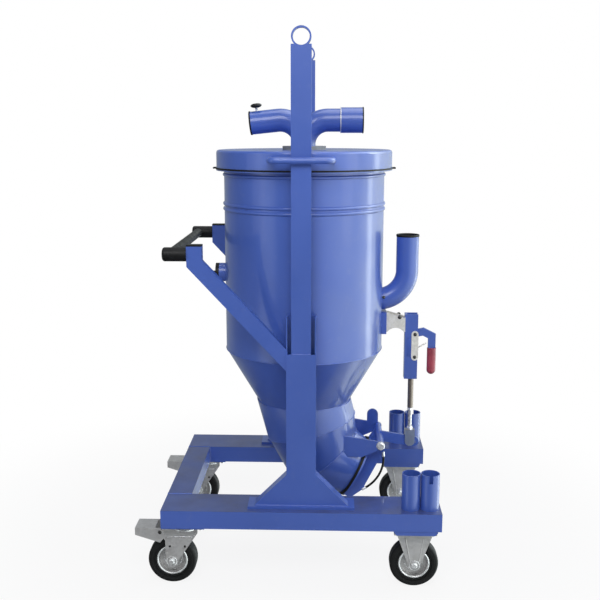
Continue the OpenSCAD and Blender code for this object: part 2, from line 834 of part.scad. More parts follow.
module lid() {
  color(blue) at_axis() difference() {
    rotate_extrude() difference() {
      lid_section(lid_r, lid_h, lid_round);
      translate([0, -eps]) lid_section(lid_r - lid_wall, lid_h - lid_wall + eps, lid_round - lid_wall);
    }
    translate([0, 0, lid_top - 2 * lid_wall]) cylinder(r = pipe_r - pipe_wall, h = 3 * lid_wall);
  }
}
module lid_section(r, h, round) {
  translate([0, lid_bottom]) {
    square([r - round, h]);
    square([r, h - round]);
    translate([r - round, h - round]) intersection() {
      circle(round);
      square(round);
    }
  }
}

module lid_gasket() {
  color(black) at_axis() difference() {
    translate([0, 0, tank_top]) union() {
      cylinder(r = gasket_r, h = gasket_t);
      for (s = [0, 1]) mirror([s, 0, 0]) translate([tank_r, -tab_width / 2, 0])
        cube([gasket_r + tab_reach - tank_r, tab_width, gasket_t]);
    }
    translate([0, 0, tank_top - eps]) cylinder(r = tank_r - tank_wall, h = gasket_t + 2 * eps);
  }
}

module lid_loops() {
  run_y = channel_out + loop_clear + loop_r;
  leg_x = loop_span / 2;
  root_y = sqrt(lid_r * lid_r - (leg_x + loop_r) * (leg_x + loop_r)) - lid_wall;
  color(blue) at_axis() difference() {
    both_sides() translate([0, 0, lid_bottom + loop_z]) {
      translate([-leg_x + loop_bend, -run_y, 0]) rotate([0, 90, 0])
        cylinder(r = loop_r, h = loop_span - 2 * loop_bend);
      for (s = [0, 1]) mirror([s, 0, 0]) translate([leg_x - loop_bend, -run_y + loop_bend, 0]) {
        rotate([0, 0, -90]) rotate_extrude(angle = 90) translate([loop_bend, 0]) circle(loop_r);
        translate([loop_bend, 0, 0]) rotate([-90, 0, 0])
          cylinder(r = loop_r, h = run_y - loop_bend - root_y);
      }
    }
    translate([0, 0, lid_bottom]) cylinder(r = lid_r, h = lid_h);
  }
}

module outlet_flange() {
  color(zinc) at_axis() translate([0, 0, lid_top]) difference() {
    cylinder(r = outlet_flange_r, h = outlet_flange_t);
    translate([0, 0, -eps]) cylinder(r = pipe_r - pipe_wall, h = outlet_flange_t + 2 * eps);
  }
}

// An outlet's bend, from the upright riser to a run that droops
module bend_arc(droop) {
  translate([outlet_bend, 0, outlet_axis - outlet_bend]) rotate([90, 0, 0]) mirror([1, 0, 0])
    rotate_extrude(angle = 90 + droop) translate([outlet_bend, 0]) pipe_section();
}
module pipe_section(outer = pipe_r) {
  difference() {
    circle(outer);
    circle(pipe_r - pipe_wall);
  }
}
// The +X half of riser and bend, which meets the other outlet's half in a seam over the riser
module outlet_half(droop) {
  foot = lid_top + outlet_flange_t;
  intersection() {
    union() {
      translate([0, 0, foot]) linear_extrude(outlet_axis - outlet_bend - foot) pipe_section();
      bend_arc(droop);
    }
    translate([0, -big / 2, lid_top]) cube(big);
  }
}
// Moves to the end of an outlet's bend, with Z along the pipe
module at_bend_end(droop) {
  translate([outlet_bend, 0, outlet_axis - outlet_bend]) rotate([0, droop, 0])
    translate([0, 0, outlet_bend]) rotate([0, 90, 0]) children();
}
module right_outlet() { color(blue) at_axis() outlet_half(0); }
module left_outlet() { color(blue) at_axis() mirror([1, 0, 0]) outlet_half(outlet_droop); }
module right_spigot() {
  run = outlet_right - outlet_bend;
  color(blue) at_axis() at_bend_end(0) {
    linear_extrude(run) pipe_section();
    translate([0, 0, sleeve_start - outlet_bend])
      linear_extrude(outlet_right - sleeve_start) pipe_section(sleeve_r);
  }
}
module left_spigot() {
  color(blue) at_axis() mirror([1, 0, 0]) at_bend_end(outlet_droop) linear_extrude(left_run) pipe_section();
}

module clamp_screw() {
  color(black) at_axis() mirror([1, 0, 0]) at_bend_end(outlet_droop) translate([0, 0, left_run - knob_in])
    rotate([0, -90, 0]) difference() {
      rotate_extrude() {
        square([knob_stem_r, pipe_r + knob_stem_h + eps]);
        translate([0, pipe_r + knob_stem_h]) square([knob_r, knob_h]);
      }
      rotate([0, 90, 0]) cylinder(r = pipe_r, h = 4 * knob_r, center = true);
    }
}

// The inlet's bend and upright leg as one solid of radius r
module inlet_run(r, past = 0) {
  bend_x = inlet_x - inlet_bend;
  bend_z = inlet_z + inlet_bend;
  translate([bend_x, 0, bend_z]) rotate([90, 0, 0]) rotate([0, 0, -90])
    rotate_extrude(angle = 90) translate([inlet_bend, 0]) circle(r);
  translate([inlet_x, 0, bend_z]) cylinder(r = r, h = inlet_top - bend_z + past);
  x_rod(bend_x - pipe_r, bend_x, inlet_z, r);
}
module inlet_elbow() {
  color(blue) at_axis() difference() {
    inlet_run(pipe_r);
    inlet_run(pipe_r - pipe_wall, eps);
    cylinder(r = tank_r - tank_wall, h = tank_top);
  }
}

module side_port() {
  color(blue) at_axis() difference() {
    x_rod(-tank_r - port_length, -tank_r / 2, port_z, port_r);
    x_rod(-tank_r - port_length - eps, -tank_r / 2 + eps, port_z, port_r - port_wall);
    translate([0, 0, tank_bottom]) cylinder(r = tank_r, h = tank_top - tank_bottom);
  }
}
module port_cap() {
  face = -tank_r - port_length;
  color(black) at_axis() {
    x_rod(face - port_cap_t, face, port_z, port_r);
    x_rod(face - port_cap_t - port_stud_h, face - port_cap_t, port_z, port_stud_r);
  }
}

// Toggle clamp and its bracket

module clamp_saddle() {
  color(blue) at_axis() difference() {
    translate([tank_r / 2, -saddle_width / 2, saddle_bottom])
      cube([tank_r / 2 + saddle_t, saddle_width, saddle_h]);
    translate([0, 0, tank_bottom]) cylinder(r = tank_r, h = tank_top - tank_bottom);
  }
}

// A folded bracket with a sloping top edge and an arched lower edge
module clamp_bracket() {
  x0 = tank_r + saddle_t;
  z0 = saddle_bottom + (saddle_h - bracket_h) / 2;
  half = (clamp_x - x0) / 2 - bracket_wall;
  arch_r = (half * half + bracket_arch * bracket_arch) / (2 * bracket_arch);
  color(zinc) at_axis() difference() {
    in_plane(-bracket_width / 2, bracket_width / 2) polygon([[x0, z0], [clamp_x, z0],
      [clamp_x, z0 + bracket_h - bracket_slope], [x0, z0 + bracket_h]]);
    translate([x0 + bracket_wall, -bracket_width / 2 + bracket_wall, z0 - eps])
      cube([2 * half, bracket_width - 2 * bracket_wall, bracket_h + 2 * eps]);
    y_rod((x0 + clamp_x) / 2, z0 + bracket_arch - arch_r, arch_r, -bracket_width, bracket_width);
  }
}

module clamp_body() {
  inner = clamp_width - 2 * clamp_wall;
  color(blue) at_axis() difference() {
    translate([clamp_x, -clamp_width / 2, 0]) {
      translate([0, 0, clamp_bottom]) cube([clamp_web, clamp_width, clamp_top - clamp_bottom]);
      translate([0, 0, clamp_bottom]) cube([clamp_depth, clamp_width, guide_h]);
      translate([0, 0, clamp_top - cheek_h]) difference() {
        cube([clamp_depth, clamp_width, cheek_h]);
        translate([clamp_web, clamp_wall, -eps]) cube([clamp_depth, inner, cheek_h + 2 * eps]);
      }
    }
    translate([rod_x, 0, clamp_bottom - eps]) cylinder(r = rod_r + fit, h = guide_h + 2 * eps);
    y_rod(pivot_c[0], pivot_c[1], pivot_r, -clamp_width, clamp_width);
  }
}

// The two plates on the clamp's sides, with the lever's pivot pin between them
module side_plates() {
  y0 = clamp_width / 2;
  color(zinc) at_axis() {
    both_sides() in_plane(-y0 - link_t, -y0) {
      for (z = [0, -link_length]) translate([pivot_c[0], pivot_c[1] + z]) circle(d = link_width);
      translate([pivot_c[0] - link_width / 2, pivot_c[1] - link_length]) square([link_width, link_length]);
    }
    y_rod(pivot_c[0], pivot_c[1], pivot_r, -y0, y0);
  }
}

module hand_lever() {
  path = [pivot_c, pivot_c + [hand_reach / 2, hand_rise], pivot_c + [hand_reach, -hand_fall],
    pivot_c + [hand_reach, -hand_drop]];
  color(blue) at_axis() difference() {
    in_plane(-hand_t / 2, hand_t / 2) {
      translate(pivot_c) circle(hand_hub);
      strip(path, hand_width);
    }
    y_rod(pivot_c[0], pivot_c[1], pivot_r + fit, -hand_t, hand_t);
  }
}

module red_grip() {
  color(red) at_axis() translate([pivot_c[0] + hand_reach, 0, pivot_c[1] - hand_drop - red_length])
    rotate_extrude() intersection() {
      union() {
        translate([0, red_r]) square([red_r, red_length - red_r]);
        translate([0, red_r]) circle(red_r);
      }
      square([big, red_length]);
    }
}

module plunger_rod() {
  fork_in = lever_t / 2 + clevis_gap;
  fork_out = fork_in + clevis_t;
  room_z = pin_z + clevis_room;
  color(steel) at_axis() translate([rod_x, 0, 0]) {
    translate([0, 0, rod_end]) cylinder(r = rod_r, h = rod_top - rod_end);
    translate([0, 0, room_z]) cylinder(r = stud_r, h = rod_end - room_z);
    both_sides() in_plane(-fork_out, -fork_in) {
      translate([0, pin_z]) circle(d = clevis_width);
      translate([-clevis_width / 2, pin_z]) square([clevis_width, clevis_room + clevis_bridge]);
    }
    translate([-clevis_width / 2, -fork_in, room_z]) cube([clevis_width, 2 * fork_in, clevis_bridge]);
    y_rod(0, pin_z, clevis_pin_r, -fork_in, fork_in);
  }
}

// Discharge flap

// Moves to the outlet's centre: X out of the mouth, Z up along the flap
module at_mouth() { translate([mouth_x, 0, mouth_z]) rotate([0, mouth_angle, 0]) children(); }

module flap_brackets() {
  hub = hinge_r + hinge_wall;
  color(blue) at_axis() difference() {
    union() {
      both_sides() in_plane(-bracket_y - bracket_t, -bracket_y) {
        translate(hinge_c) circle(hub);
        polygon([hinge_c + [0, -hub], hinge_c + [0, hub], hinge_c + [-bracket_back, bracket_rise],
          hinge_c + [-bracket_back, -bracket_fall], hinge_c + [-bracket_back / 2, -bracket_fall]]);
      }
      in_plane(bracket_y, bracket_y + bracket_t) translate(hinge_c + [-lug_back, lug_up]) {
        circle(lug_r);
        translate([-lug_r, -lug_up]) square([2 * lug_r, lug_up]);
      }
    }
    for (i = [0 : 2]) gore(i, sheet = false);
    y_rod(hinge_c[0], hinge_c[1], hinge_r, -2 * bracket_y, 2 * bracket_y);
  }
}
module hinge_pin() {
  end = bracket_y + bracket_t;
  color(zinc) at_axis() y_rod(hinge_c[0], hinge_c[1], hinge_r, -end, end);
}

module flap_frame() {
  tube_r = hinge_r + hinge_wall;
  tube_y = bracket_y - hinge_gap;
  color(blue) at_axis() difference() {
    union() {
      y_rod(hinge_c[0], hinge_c[1], tube_r, -tube_y, tube_y);
      at_mouth() for (s = [-1, 1]) rib(s);
      in_plane(-lever_t / 2, lever_t / 2) lever_outline();
    }
    y_rod(hinge_c[0], hinge_c[1], hinge_r + fit, -bracket_y, bracket_y);
  }
}
// The rib at the near (s = -1) or far (s = 1) side, drawn at the outlet
module rib(s) {
  back = seal_gap + seal_t + flap_t;
  tube_r = hinge_r + hinge_wall;
  in_plane(s * rib_y - rib_t / 2, s * rib_y + rib_t / 2)
    polygon([[back, -rib_down], [back + rib_h / 2, -rib_down], [back + rib_h, -rib_down / 2],
      [back + rib_h, hinge_up - 2 * tube_r], [hinge_out + tube_r, hinge_up], [hinge_out - tube_r, hinge_up],
      [back, flap_r - rib_t]]);
}
module lever_outline() {
  translate(hinge_c) rotate(-lever_angle) difference() {
    union() {
      translate([0, -lever_h / 2]) square([lever_reach + slot_run, lever_h]);
      translate([lever_reach + slot_run, 0]) circle(d = lever_h);
    }
    translate([lever_reach, 0]) {
      circle(d = lever_slot);
      translate([0, -lever_slot / 2]) square([slot_run, lever_slot]);
      translate([slot_run, 0]) circle(d = lever_slot);
    }
  }
}

module flap_disc() {
  color(blue) at_axis() at_mouth() translate([seal_gap + seal_t, 0, 0]) rotate([0, 90, 0])
    cylinder(r = flap_r, h = flap_t);
}

module flap_seal() {
  color(black) at_axis() at_mouth() translate([seal_gap, 0, 0]) rotate([0, 90, 0]) difference() {
    cylinder(r = flap_r, h = seal_t);
    translate([0, 0, -eps]) cylinder(r = flap_r - seal_width, h = seal_t + 2 * eps);
  }
}

// The cable bows out over the near rib's edge, with both ends on the rib
module earth_cable() {
  bow_r = (cable_span * cable_span / 4 + cable_bow * cable_bow) / (2 * cable_bow);
  half = asin(cable_span / 2 / bow_r);
  edge = seal_gap + seal_t + flap_t + rib_h;
  color(black) at_axis() at_mouth() difference() {
    translate([edge + cable_bow - bow_r, -rib_y, cable_up]) rotate([90, 0, 0]) rotate([0, 0, -half])
      rotate_extrude(angle = 2 * half) translate([bow_r, 0]) circle(cable_r);
    rib(-1);
  }
}

// Casters

module swivel_plates() {
  color(zinc) at_axis() both_sides() translate([-swivel_x, -rail_y, plate_z]) {
    translate([-plate_length / 2, -plate_width / 2, 0]) cube([plate_length, plate_width, plate_t]);
    translate([0, 0, -race_t]) cylinder(r = head_r, h = race_t);
    translate([0, 0, crown_z - plate_z - fork_wall / 2])
      cylinder(r = king_r - fit, h = plate_z - crown_z + fork_wall / 2);
  }
}

// Side view of a swivel fork's cheek, with the swivel axis at x = 0
module swivel_cheek() {
  translate([-trail, wheel_r]) circle(boss_r);
  translate([-pedal_pin_x, pedal_z]) circle(ear_r);
  polygon([[-pedal_pin_x, pedal_z + ear_r], [-pedal_pin_x, pedal_z - ear_r],
    [-trail - cheek_half, crown_top - cheek_bend], [-trail - cheek_half, wheel_r],
    [-trail + cheek_half, wheel_r], [head_r, crown_top - crown_edge], [head_r, crown_top],
    [-head_r, crown_top]]);
}
module swivel_fork(far) {
  side = cheek_y + fork_wall;
  pin_end = side + pedal_gap + pedal_wall;
  color(zinc) at_axis() on_side(far) translate([-swivel_x, -rail_y, 0]) difference() {
    union() {
      for (s = [0, 1]) mirror([0, s, 0]) in_plane(-side, -cheek_y) swivel_cheek();
      translate([0, 0, crown_z]) intersection() {
        cylinder(r = head_r, h = fork_wall);
        translate([-head_r, -side, 0]) cube([2 * head_r, 2 * side, fork_wall]);
      }
      y_rod(-trail, wheel_r, axle_r, -side, side);
      y_rod(-pedal_pin_x, pedal_z, pedal_pin_r, -pin_end, pin_end);
    }
    translate([0, 0, crown_z - eps]) cylinder(r = king_r, h = fork_wall + 2 * eps);
  }
}
module near_swivel_fork() { swivel_fork(false); }
module far_swivel_fork() { swivel_fork(true); }

// Brake pedal: a channel with a top plate and two skirts that straddle the fork
module pedal(far) {
  inner = cheek_y + fork_wall + pedal_gap;
  outer = inner + pedal_wall;
  color(zinc) at_axis() on_side(far) translate([-swivel_x - pedal_pin_x, -rail_y, pedal_z]) {
    for (s = [0, 1]) mirror([0, s, 0]) difference() {
      in_plane(-outer, -inner) polygon([[-pedal_reach, pedal_rise], [-pedal_reach, pedal_rise - pedal_tip],
        [0, -skirt_down], [skirt_past, -skirt_down / 2], [skirt_past, 0], [0, pedal_rise]]);
      y_rod(0, 0, pedal_pin_r + fit, -2 * outer, 0);
    }
    translate([-pedal_reach, -outer, pedal_rise - pedal_wall]) cube([tread_length, 2 * outer, pedal_wall]);
    translate([-pedal_reach, -outer, pedal_rise - pedal_tip]) cube([pedal_wall, 2 * outer, pedal_tip]);
  }
}
module near_pedal() { pedal(false); }
module far_pedal() { pedal(true); }

// Places a wheel's piece, drawn round the Z axis, on its axle
module at_wheel(far, left) {
  at_axis() on_side(far) translate([left ? -swivel_x - trail : fixed_x, -rail_y, wheel_r])
    rotate([90, 0, 0]) children();
}
module rim(far, left) {
  color(zinc) at_wheel(far, left) rotate_extrude() {
    translate([axle_r + fit, -hub_length / 2]) square([hub_r - axle_r - fit, hub_length]);
    translate([hub_r - eps, -rim_web / 2]) square([rim_r - hub_r, rim_web]);
    translate([rim_r - rim_web, -rim_width / 2]) square([rim_web, rim_width]);
  }
}
module tyre(far, left) {
  flank = wheel_r - rim_r - tyre_round;
  color(black) at_wheel(far, left) rotate_extrude() {
    translate([rim_r, -rim_width / 2]) square([flank, rim_width]);
    translate([rim_r + tyre_round, -tyre_width / 2]) square([flank - tyre_round, tyre_width]);
    translate([wheel_r - tyre_round - eps, -tyre_width / 2 + tyre_round])
      square([tyre_round + eps, tyre_width - 2 * tyre_round]);
    for (s = [-1, 1]) translate([wheel_r - tyre_round, s * (tyre_width / 2 - tyre_round)]) circle(tyre_round);
  }
}
module near_left_rim() { rim(false, true); }
module far_left_rim() { rim(true, true); }
module near_left_tyre() { tyre(false, true); }
module far_left_tyre() { tyre(true, true); }
module near_right_rim() { rim(false, false); }
module far_right_rim() { rim(true, false); }
module near_right_tyre() { tyre(false, false); }
module far_right_tyre() { tyre(true, false); }

module fixed_forks() {
  side = cheek_y + fork_wall;
  color(zinc) at_axis() both_sides() translate([fixed_x, -rail_y, 0]) {
    translate([-plate_length / 2, -plate_width / 2, fixed_plate_z])
      cube([plate_length, plate_width, plate_t]);
    for (s = [0, 1]) mirror([0, s, 0]) in_plane(-side, -cheek_y) {
      translate([0, wheel_r]) circle(boss_r);
      polygon([[cheek_in - plate_length / 2, fixed_plate_z], [-cheek_half, wheel_r], [cheek_half, wheel_r],
        [plate_length / 2 - cheek_in, fixed_plate_z]]);
    }
    for (s = [0, 1]) mirror([0, s, 0]) in_plane(-side - panel_t, -side) {
      translate([0, wheel_r]) circle(panel_half);
      polygon([[-panel_half, wheel_r], [panel_half, wheel_r], [panel_top, fixed_plate_z],
        [-panel_top, fixed_plate_z]]);
    }
    y_rod(0, wheel_r, axle_r, -side, side);
  }
}

near_rail();
far_rail();
cross_member();
caster_pads();
tool_sockets();
base_plates();
near_post();
far_post();
near_cover();
far_cover();
near_lift_bar();
far_lift_bar();
lift_eyes();
near_arm();
far_arm();
push_handle();
tank_shell();
tank_flange();
hopper_cone();
discharge_elbow();
lid();
lid_gasket();
lid_loops();
outlet_flange();
right_outlet();
left_outlet();
right_spigot();
left_spigot();
clamp_screw();
inlet_elbow();
side_port();
port_cap();
clamp_saddle();
clamp_bracket();
clamp_body();
side_plates();
hand_lever();
red_grip();
plunger_rod();
flap_brackets();
hinge_pin();
flap_frame();
flap_disc();
flap_seal();
earth_cable();
swivel_plates();
near_swivel_fork();
far_swivel_fork();
near_pedal();
far_pedal();
near_left_rim();
far_left_rim();
near_left_tyre();
far_left_tyre();
fixed_forks();
near_right_rim();
far_right_rim();
near_right_tyre();
far_right_tyre();
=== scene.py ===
import json
import math

import bmesh
import bpy
from mathutils import Matrix, Vector


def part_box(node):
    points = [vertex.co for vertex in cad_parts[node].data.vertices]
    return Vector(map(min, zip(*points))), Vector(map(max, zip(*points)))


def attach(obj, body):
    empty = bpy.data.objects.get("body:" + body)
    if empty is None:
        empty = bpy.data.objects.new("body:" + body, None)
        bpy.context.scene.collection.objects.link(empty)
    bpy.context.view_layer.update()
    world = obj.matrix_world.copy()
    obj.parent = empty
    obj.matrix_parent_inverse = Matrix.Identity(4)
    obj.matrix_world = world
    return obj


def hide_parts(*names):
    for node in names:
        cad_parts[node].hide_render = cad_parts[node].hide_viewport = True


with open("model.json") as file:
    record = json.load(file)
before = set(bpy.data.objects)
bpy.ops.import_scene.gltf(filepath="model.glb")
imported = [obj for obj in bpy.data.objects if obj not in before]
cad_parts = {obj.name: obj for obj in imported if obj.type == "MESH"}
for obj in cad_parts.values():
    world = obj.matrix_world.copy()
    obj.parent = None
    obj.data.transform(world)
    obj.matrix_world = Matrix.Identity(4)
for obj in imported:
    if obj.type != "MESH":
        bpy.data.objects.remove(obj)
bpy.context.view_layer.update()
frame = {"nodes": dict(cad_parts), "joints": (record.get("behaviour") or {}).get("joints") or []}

scene = bpy.context.scene
nodes = frame["nodes"]

# The view: a camera at chest height, a little to the right of the tank, about three metres away.
# The camera sees pure white round the object; reflections see a studio with its windows on the right
# and a faint glow on the left.
camera_place = Vector((0.1265, -3.034, 1.476))
camera_pitch, camera_yaw = 10.8, 1.9
camera_lens = 53.4
camera = bpy.data.objects.new("photo_camera", bpy.data.cameras.new("photo_camera"))
camera.data.lens = camera_lens
camera.data.sensor_width = 36.0
camera.data.clip_end = 60.0
camera.location = camera_place
camera.rotation_euler = (math.radians(90 - camera_pitch), 0.0, math.radians(camera_yaw))
scene.collection.objects.link(camera)
scene.camera = camera
scene.view_settings.view_transform = "Standard"


def by_ray(tree, ray, otherwise, seen):
    """Shows one shader to rays of the named kind, and the other shader to all other light."""
    path = tree.nodes.new("ShaderNodeLightPath")
    mix = tree.nodes.new("ShaderNodeMixShader")
    tree.links.new(path.outputs[ray], mix.inputs[0])
    tree.links.new(otherwise.outputs[0], mix.inputs[1])
    tree.links.new(seen.outputs[0], mix.inputs[2])
    return mix


def plain_light(tree, kind, colour, strength):
    made = tree.nodes.new(kind)
    made.inputs["Color"].default_value = colour
    made.inputs["Strength"].default_value = strength
    return made


def remap(tree, value, start, end, low, high, curve="LINEAR"):
    """A value that goes from one level to another between start and end, and stays level outside them."""
    node = tree.nodes.new("ShaderNodeMapRange")
    node.interpolation_type = curve
    for socket, number in zip(("From Min", "From Max", "To Min", "To Max"), (start, end, low, high)):
        node.inputs[socket].default_value = number
    tree.links.new(value, node.inputs["Value"])
    return node.outputs["Result"]


def ramp(tree, value, start, end, low, high):
    return remap(tree, value, start, end, low, high, "SMOOTHSTEP")


def sums(tree, operation, *values):
    """One value from several, by the same operation in turn."""
    total = values[0]
    for value in values[1:]:
        made = tree.nodes.new("ShaderNodeMath")
        made.operation = operation
        tree.links.new(total, made.inputs[0])
        tree.links.new(value, made.inputs[1])
        total = made.outputs[0]
    return total


white = (1.0, 1.0, 1.0, 1.0)
world = bpy.data.worlds.new("studio")
world.use_nodes = True
scene.world = world
air = world.node_tree
walls = plain_light(air, "ShaderNodeBackground", (0.91, 1.0, 0.99, 1.0), 1.0)
heading = air.nodes.new("ShaderNodeSeparateXYZ")
air.links.new(air.nodes.new("ShaderNodeTexCoord").outputs["Generated"], heading.inputs[0])
towards_x, towards_y, towards_z = (heading.outputs[axis] for axis in "XYZ")
right_wall = sums(air, "MULTIPLY", ramp(air, towards_x, -0.10, 0.90, 0.18, 2.9),
                  ramp(air, towards_y, 0.40, 0.85, 1.0, 0.45))
back_wall = ramp(air, towards_y, 0.2, 0.9, 0.0, 0.35)
tall_window = sums(air, "MULTIPLY", ramp(air, towards_y, 0.18, 0.28, 0.0, 1.0),
                   ramp(air, towards_y, 0.36, 0.46, 1.0, 0.0), ramp(air, towards_x, 0.3, 0.8, 0.0, 4.5))
high_window = sums(air, "MULTIPLY", ramp(air, towards_z, 0.16, 0.34, 0.0, 1.0),
                   ramp(air, towards_x, 0.55, 0.85, 0.0, 3.2))
left_glow = sums(air, "MULTIPLY", ramp(air, towards_x, -0.95, -0.82, 0.0, 1.2),
                 ramp(air, towards_x, -0.72, -0.55, 1.0, 0.0), ramp(air, towards_y, -0.45, -0.15, 1.0, 0.0))
all_walls = sums(air, "ADD", right_wall, back_wall, tall_window, high_window, left_glow)
below = ramp(air, towards_z, -0.9, -0.3, 0.45, 1.0)
air.links.new(sums(air, "MULTIPLY", all_walls, below), walls.inputs["Strength"])
sky = plain_light(air, "ShaderNodeBackground", (0.93, 0.96, 1.0, 1.0), 0.30)
paper = plain_light(air, "ShaderNodeBackground", white, 1.0)
seen_world = by_ray(air, "Is Camera Ray", by_ray(air, "Is Glossy Ray", sky, walls), paper)
air.links.new(seen_world.outputs[0], air.nodes["World Output"].inputs["Surface"])

floor_r, shade_r, clear_r, floor_glow_share = 14.0, 0.7, 1.8, 0.88
floor_mesh = bpy.data.meshes.new("studio_floor")
floor_bm = bmesh.new()
bmesh.ops.create_circle(floor_bm, cap_ends=True, segments=96, radius=floor_r)
floor_bm.to_mesh(floor_mesh)
floor_bm.free()
floor = bpy.data.objects.new("studio_floor", floor_mesh)
scene.collection.objects.link(floor)
floor_paint = bpy.data.materials.new("studio_floor")
floor_paint.use_nodes = True
ground = floor_paint.node_tree
floor_shader = ground.nodes["Principled BSDF"]
floor_shader.inputs["Base Color"].default_value = (0.78, 0.78, 0.79, 1.0)
floor_shader.inputs["Roughness"].default_value = 0.9
floor_shader.inputs["Specular IOR Level"].default_value = 0.1
floor_glow = plain_light(ground, "ShaderNodeEmission", white, 1.0)
reach = ground.nodes.new("ShaderNodeVectorMath")
reach.operation = "LENGTH"
ground.links.new(ground.nodes.new("ShaderNodeTexCoord").outputs["Object"], reach.inputs[0])
shaded_floor = ground.nodes.new("ShaderNodeMixShader")
ground.links.new(ramp(ground, reach.outputs["Value"], shade_r, clear_r, floor_glow_share, 1.0),
                 shaded_floor.inputs[0])
ground.links.new(floor_shader.outputs[0], shaded_floor.inputs[1])
ground.links.new(floor_glow.outputs[0], shaded_floor.inputs[2])
seen_floor = by_ray(ground, "Is Camera Ray", floor_shader, shaded_floor)
ground.links.new(seen_floor.outputs[0], ground.nodes["Material Output"].inputs["Surface"])
floor.visible_glossy = False
floor_mesh.materials.append(floor_paint)


def soft_box(name, place, aim, width, height, watts):
    lamp = bpy.data.lights.new(name, "AREA")
    lamp.shape = "RECTANGLE"
    lamp.size, lamp.size_y = width, height
    lamp.energy = watts
    box = bpy.data.objects.new(name, lamp)
    box.location = place
    box.rotation_euler = (Vector(aim) - Vector(place)).to_track_quat("-Z", "Y").to_euler()
    scene.collection.objects.link(box)


soft_box("front_box", (-0.1, -2.7, 3.0), (0.0, 0.0, 1.3), 2.4, 1.4, 60)
soft_box("right_strip", (2.3, -1.2, 1.9), (0.0, 0.0, 1.0), 0.8, 2.4, 6)
soft_box("left_box", (-2.6, -1.4, 1.8), (0.0, 0.0, 0.9), 1.2, 2.2, 5)
soft_box("top_box", (0.3, 0.3, 4.2), (0.0, 0.0, 0.6), 2.2, 2.2, 40)


# The caster frame: two inverted channels and a cross member of folded and welded sheet, powder coated blue,
# with pads for the casters below and pipe stubs for tools on top. Welds run where the pieces meet.
def new_skin(name, colour, gloss, **levels):
    """A node group for a finish: colour, gloss and named levels in; colour, roughness and height out."""
    skin = bpy.data.node_groups.new(name, "ShaderNodeTree")
    for socket, value in {"Colour": colour, "Gloss": gloss, **levels}.items():
        kind = "NodeSocketColor" if isinstance(value, tuple) else "NodeSocketFloat"
        skin.interface.new_socket(name=socket, in_out="INPUT", socket_type=kind).default_value = value
    skin.interface.new_socket(name="Colour", in_out="OUTPUT", socket_type="NodeSocketColor")
    for socket in ("Roughness", "Height"):
        skin.interface.new_socket(name=socket, in_out="OUTPUT", socket_type="NodeSocketFloat")
    return skin, skin.nodes.new("NodeGroupInput").outputs, skin.nodes.new("ShaderNodeTexCoord")


def put_out(skin, colour, roughness, height):
    result = skin.nodes.new("NodeGroupOutput")
    for socket, value in (("Colour", colour), ("Roughness", roughness), ("Height", height)):
        skin.links.new(value, result.inputs[socket])


def noise(tree, coords, scale, detail=3.0, rough=0.5):
    """Clouds on Object coordinates, with a fixed scale or one of the group's inputs."""
    tex = tree.nodes.new("ShaderNodeTexNoise")
    if isinstance(scale, float):
        tex.inputs["Scale"].default_value = scale
    else:
        tree.links.new(scale, tex.inputs["Scale"])
    tex.inputs["Detail"].default_value = detail
    tex.inputs["Roughness"].default_value = rough
    tree.links.new(coords.outputs["Object"], tex.inputs["Vector"])
    return tex.outputs["Fac"]


def shade(tree, colour, factor):
    """The colour times a factor that changes over the surface."""
    node = tree.nodes.new("ShaderNodeVectorMath")
    node.operation = "SCALE"
    tree.links.new(colour, node.inputs[0])
    tree.links.new(factor, node.inputs["Scale"])
    return node.outputs["Vector"]


def blend_colours(tree, factor, first, second):
    node = tree.nodes.new("ShaderNodeMix")
    node.data_type = "RGBA"
    tree.links.new(factor, node.inputs["Factor"])
    for socket, colour in ((node.inputs[6], first), (node.inputs[7], second)):
        if isinstance(colour, tuple):
            socket.default_value = colour + (1.0,)
        else:
            tree.links.new(colour, socket)
    return node.outputs[2]


def height_over(tree, coords, level):
    """How far a point lies above a level that is one of the group's inputs."""
    split = tree.nodes.new("ShaderNodeSeparateXYZ")
    tree.links.new(coords.outputs["Object"], split.inputs[0])
    return sums(tree, "SUBTRACT", split.outputs["Z"], level)


dust_grey, deck_dust_and_sheen = (0.22, 0.26, 0.40), (0.050, 0.052, 0.100)
coat_skin, coat_in, coat_at = new_skin("coat_skin", (0.06, 0.12, 0.44, 1.0), 0.3, Deck=9.0)
coat_clouds = remap(coat_skin, noise(coat_skin, coat_at, 2.6), 0.3, 0.7, 0.93, 1.06)
coat_dust = remap(coat_skin, noise(coat_skin, coat_at, 34.0, 6.0, 0.65), 0.56, 0.82, 0.0, 0.10)
coat_worn = blend_colours(coat_skin, coat_dust, shade(coat_skin, coat_in["Colour"], coat_clouds), dust_grey)
# The deck's top faces are greyed in patches: partly dust, partly a painted sheen of the light from above.
coat_top = remap(coat_skin, height_over(coat_skin, coat_at, coat_in["Deck"]), -0.0012, -0.0004, 0.0, 1.0)
coat_patches = remap(coat_skin, noise(coat_skin, coat_at, 7.0, 5.0, 0.6), 0.3, 0.7, 0.35, 0.75)
coat_smears = remap(coat_skin, noise(coat_skin, coat_at, 11.0, 4.0), 0.35, 0.7, -0.05, 0.09)
put_out(coat_skin, blend_colours(coat_skin, sums(coat_skin, "MULTIPLY", coat_top, coat_patches), coat_worn, deck_dust_and_sheen),
        sums(coat_skin, "ADD", coat_in["Gloss"], coat_smears), noise(coat_skin, coat_at, 420.0, 1.0))


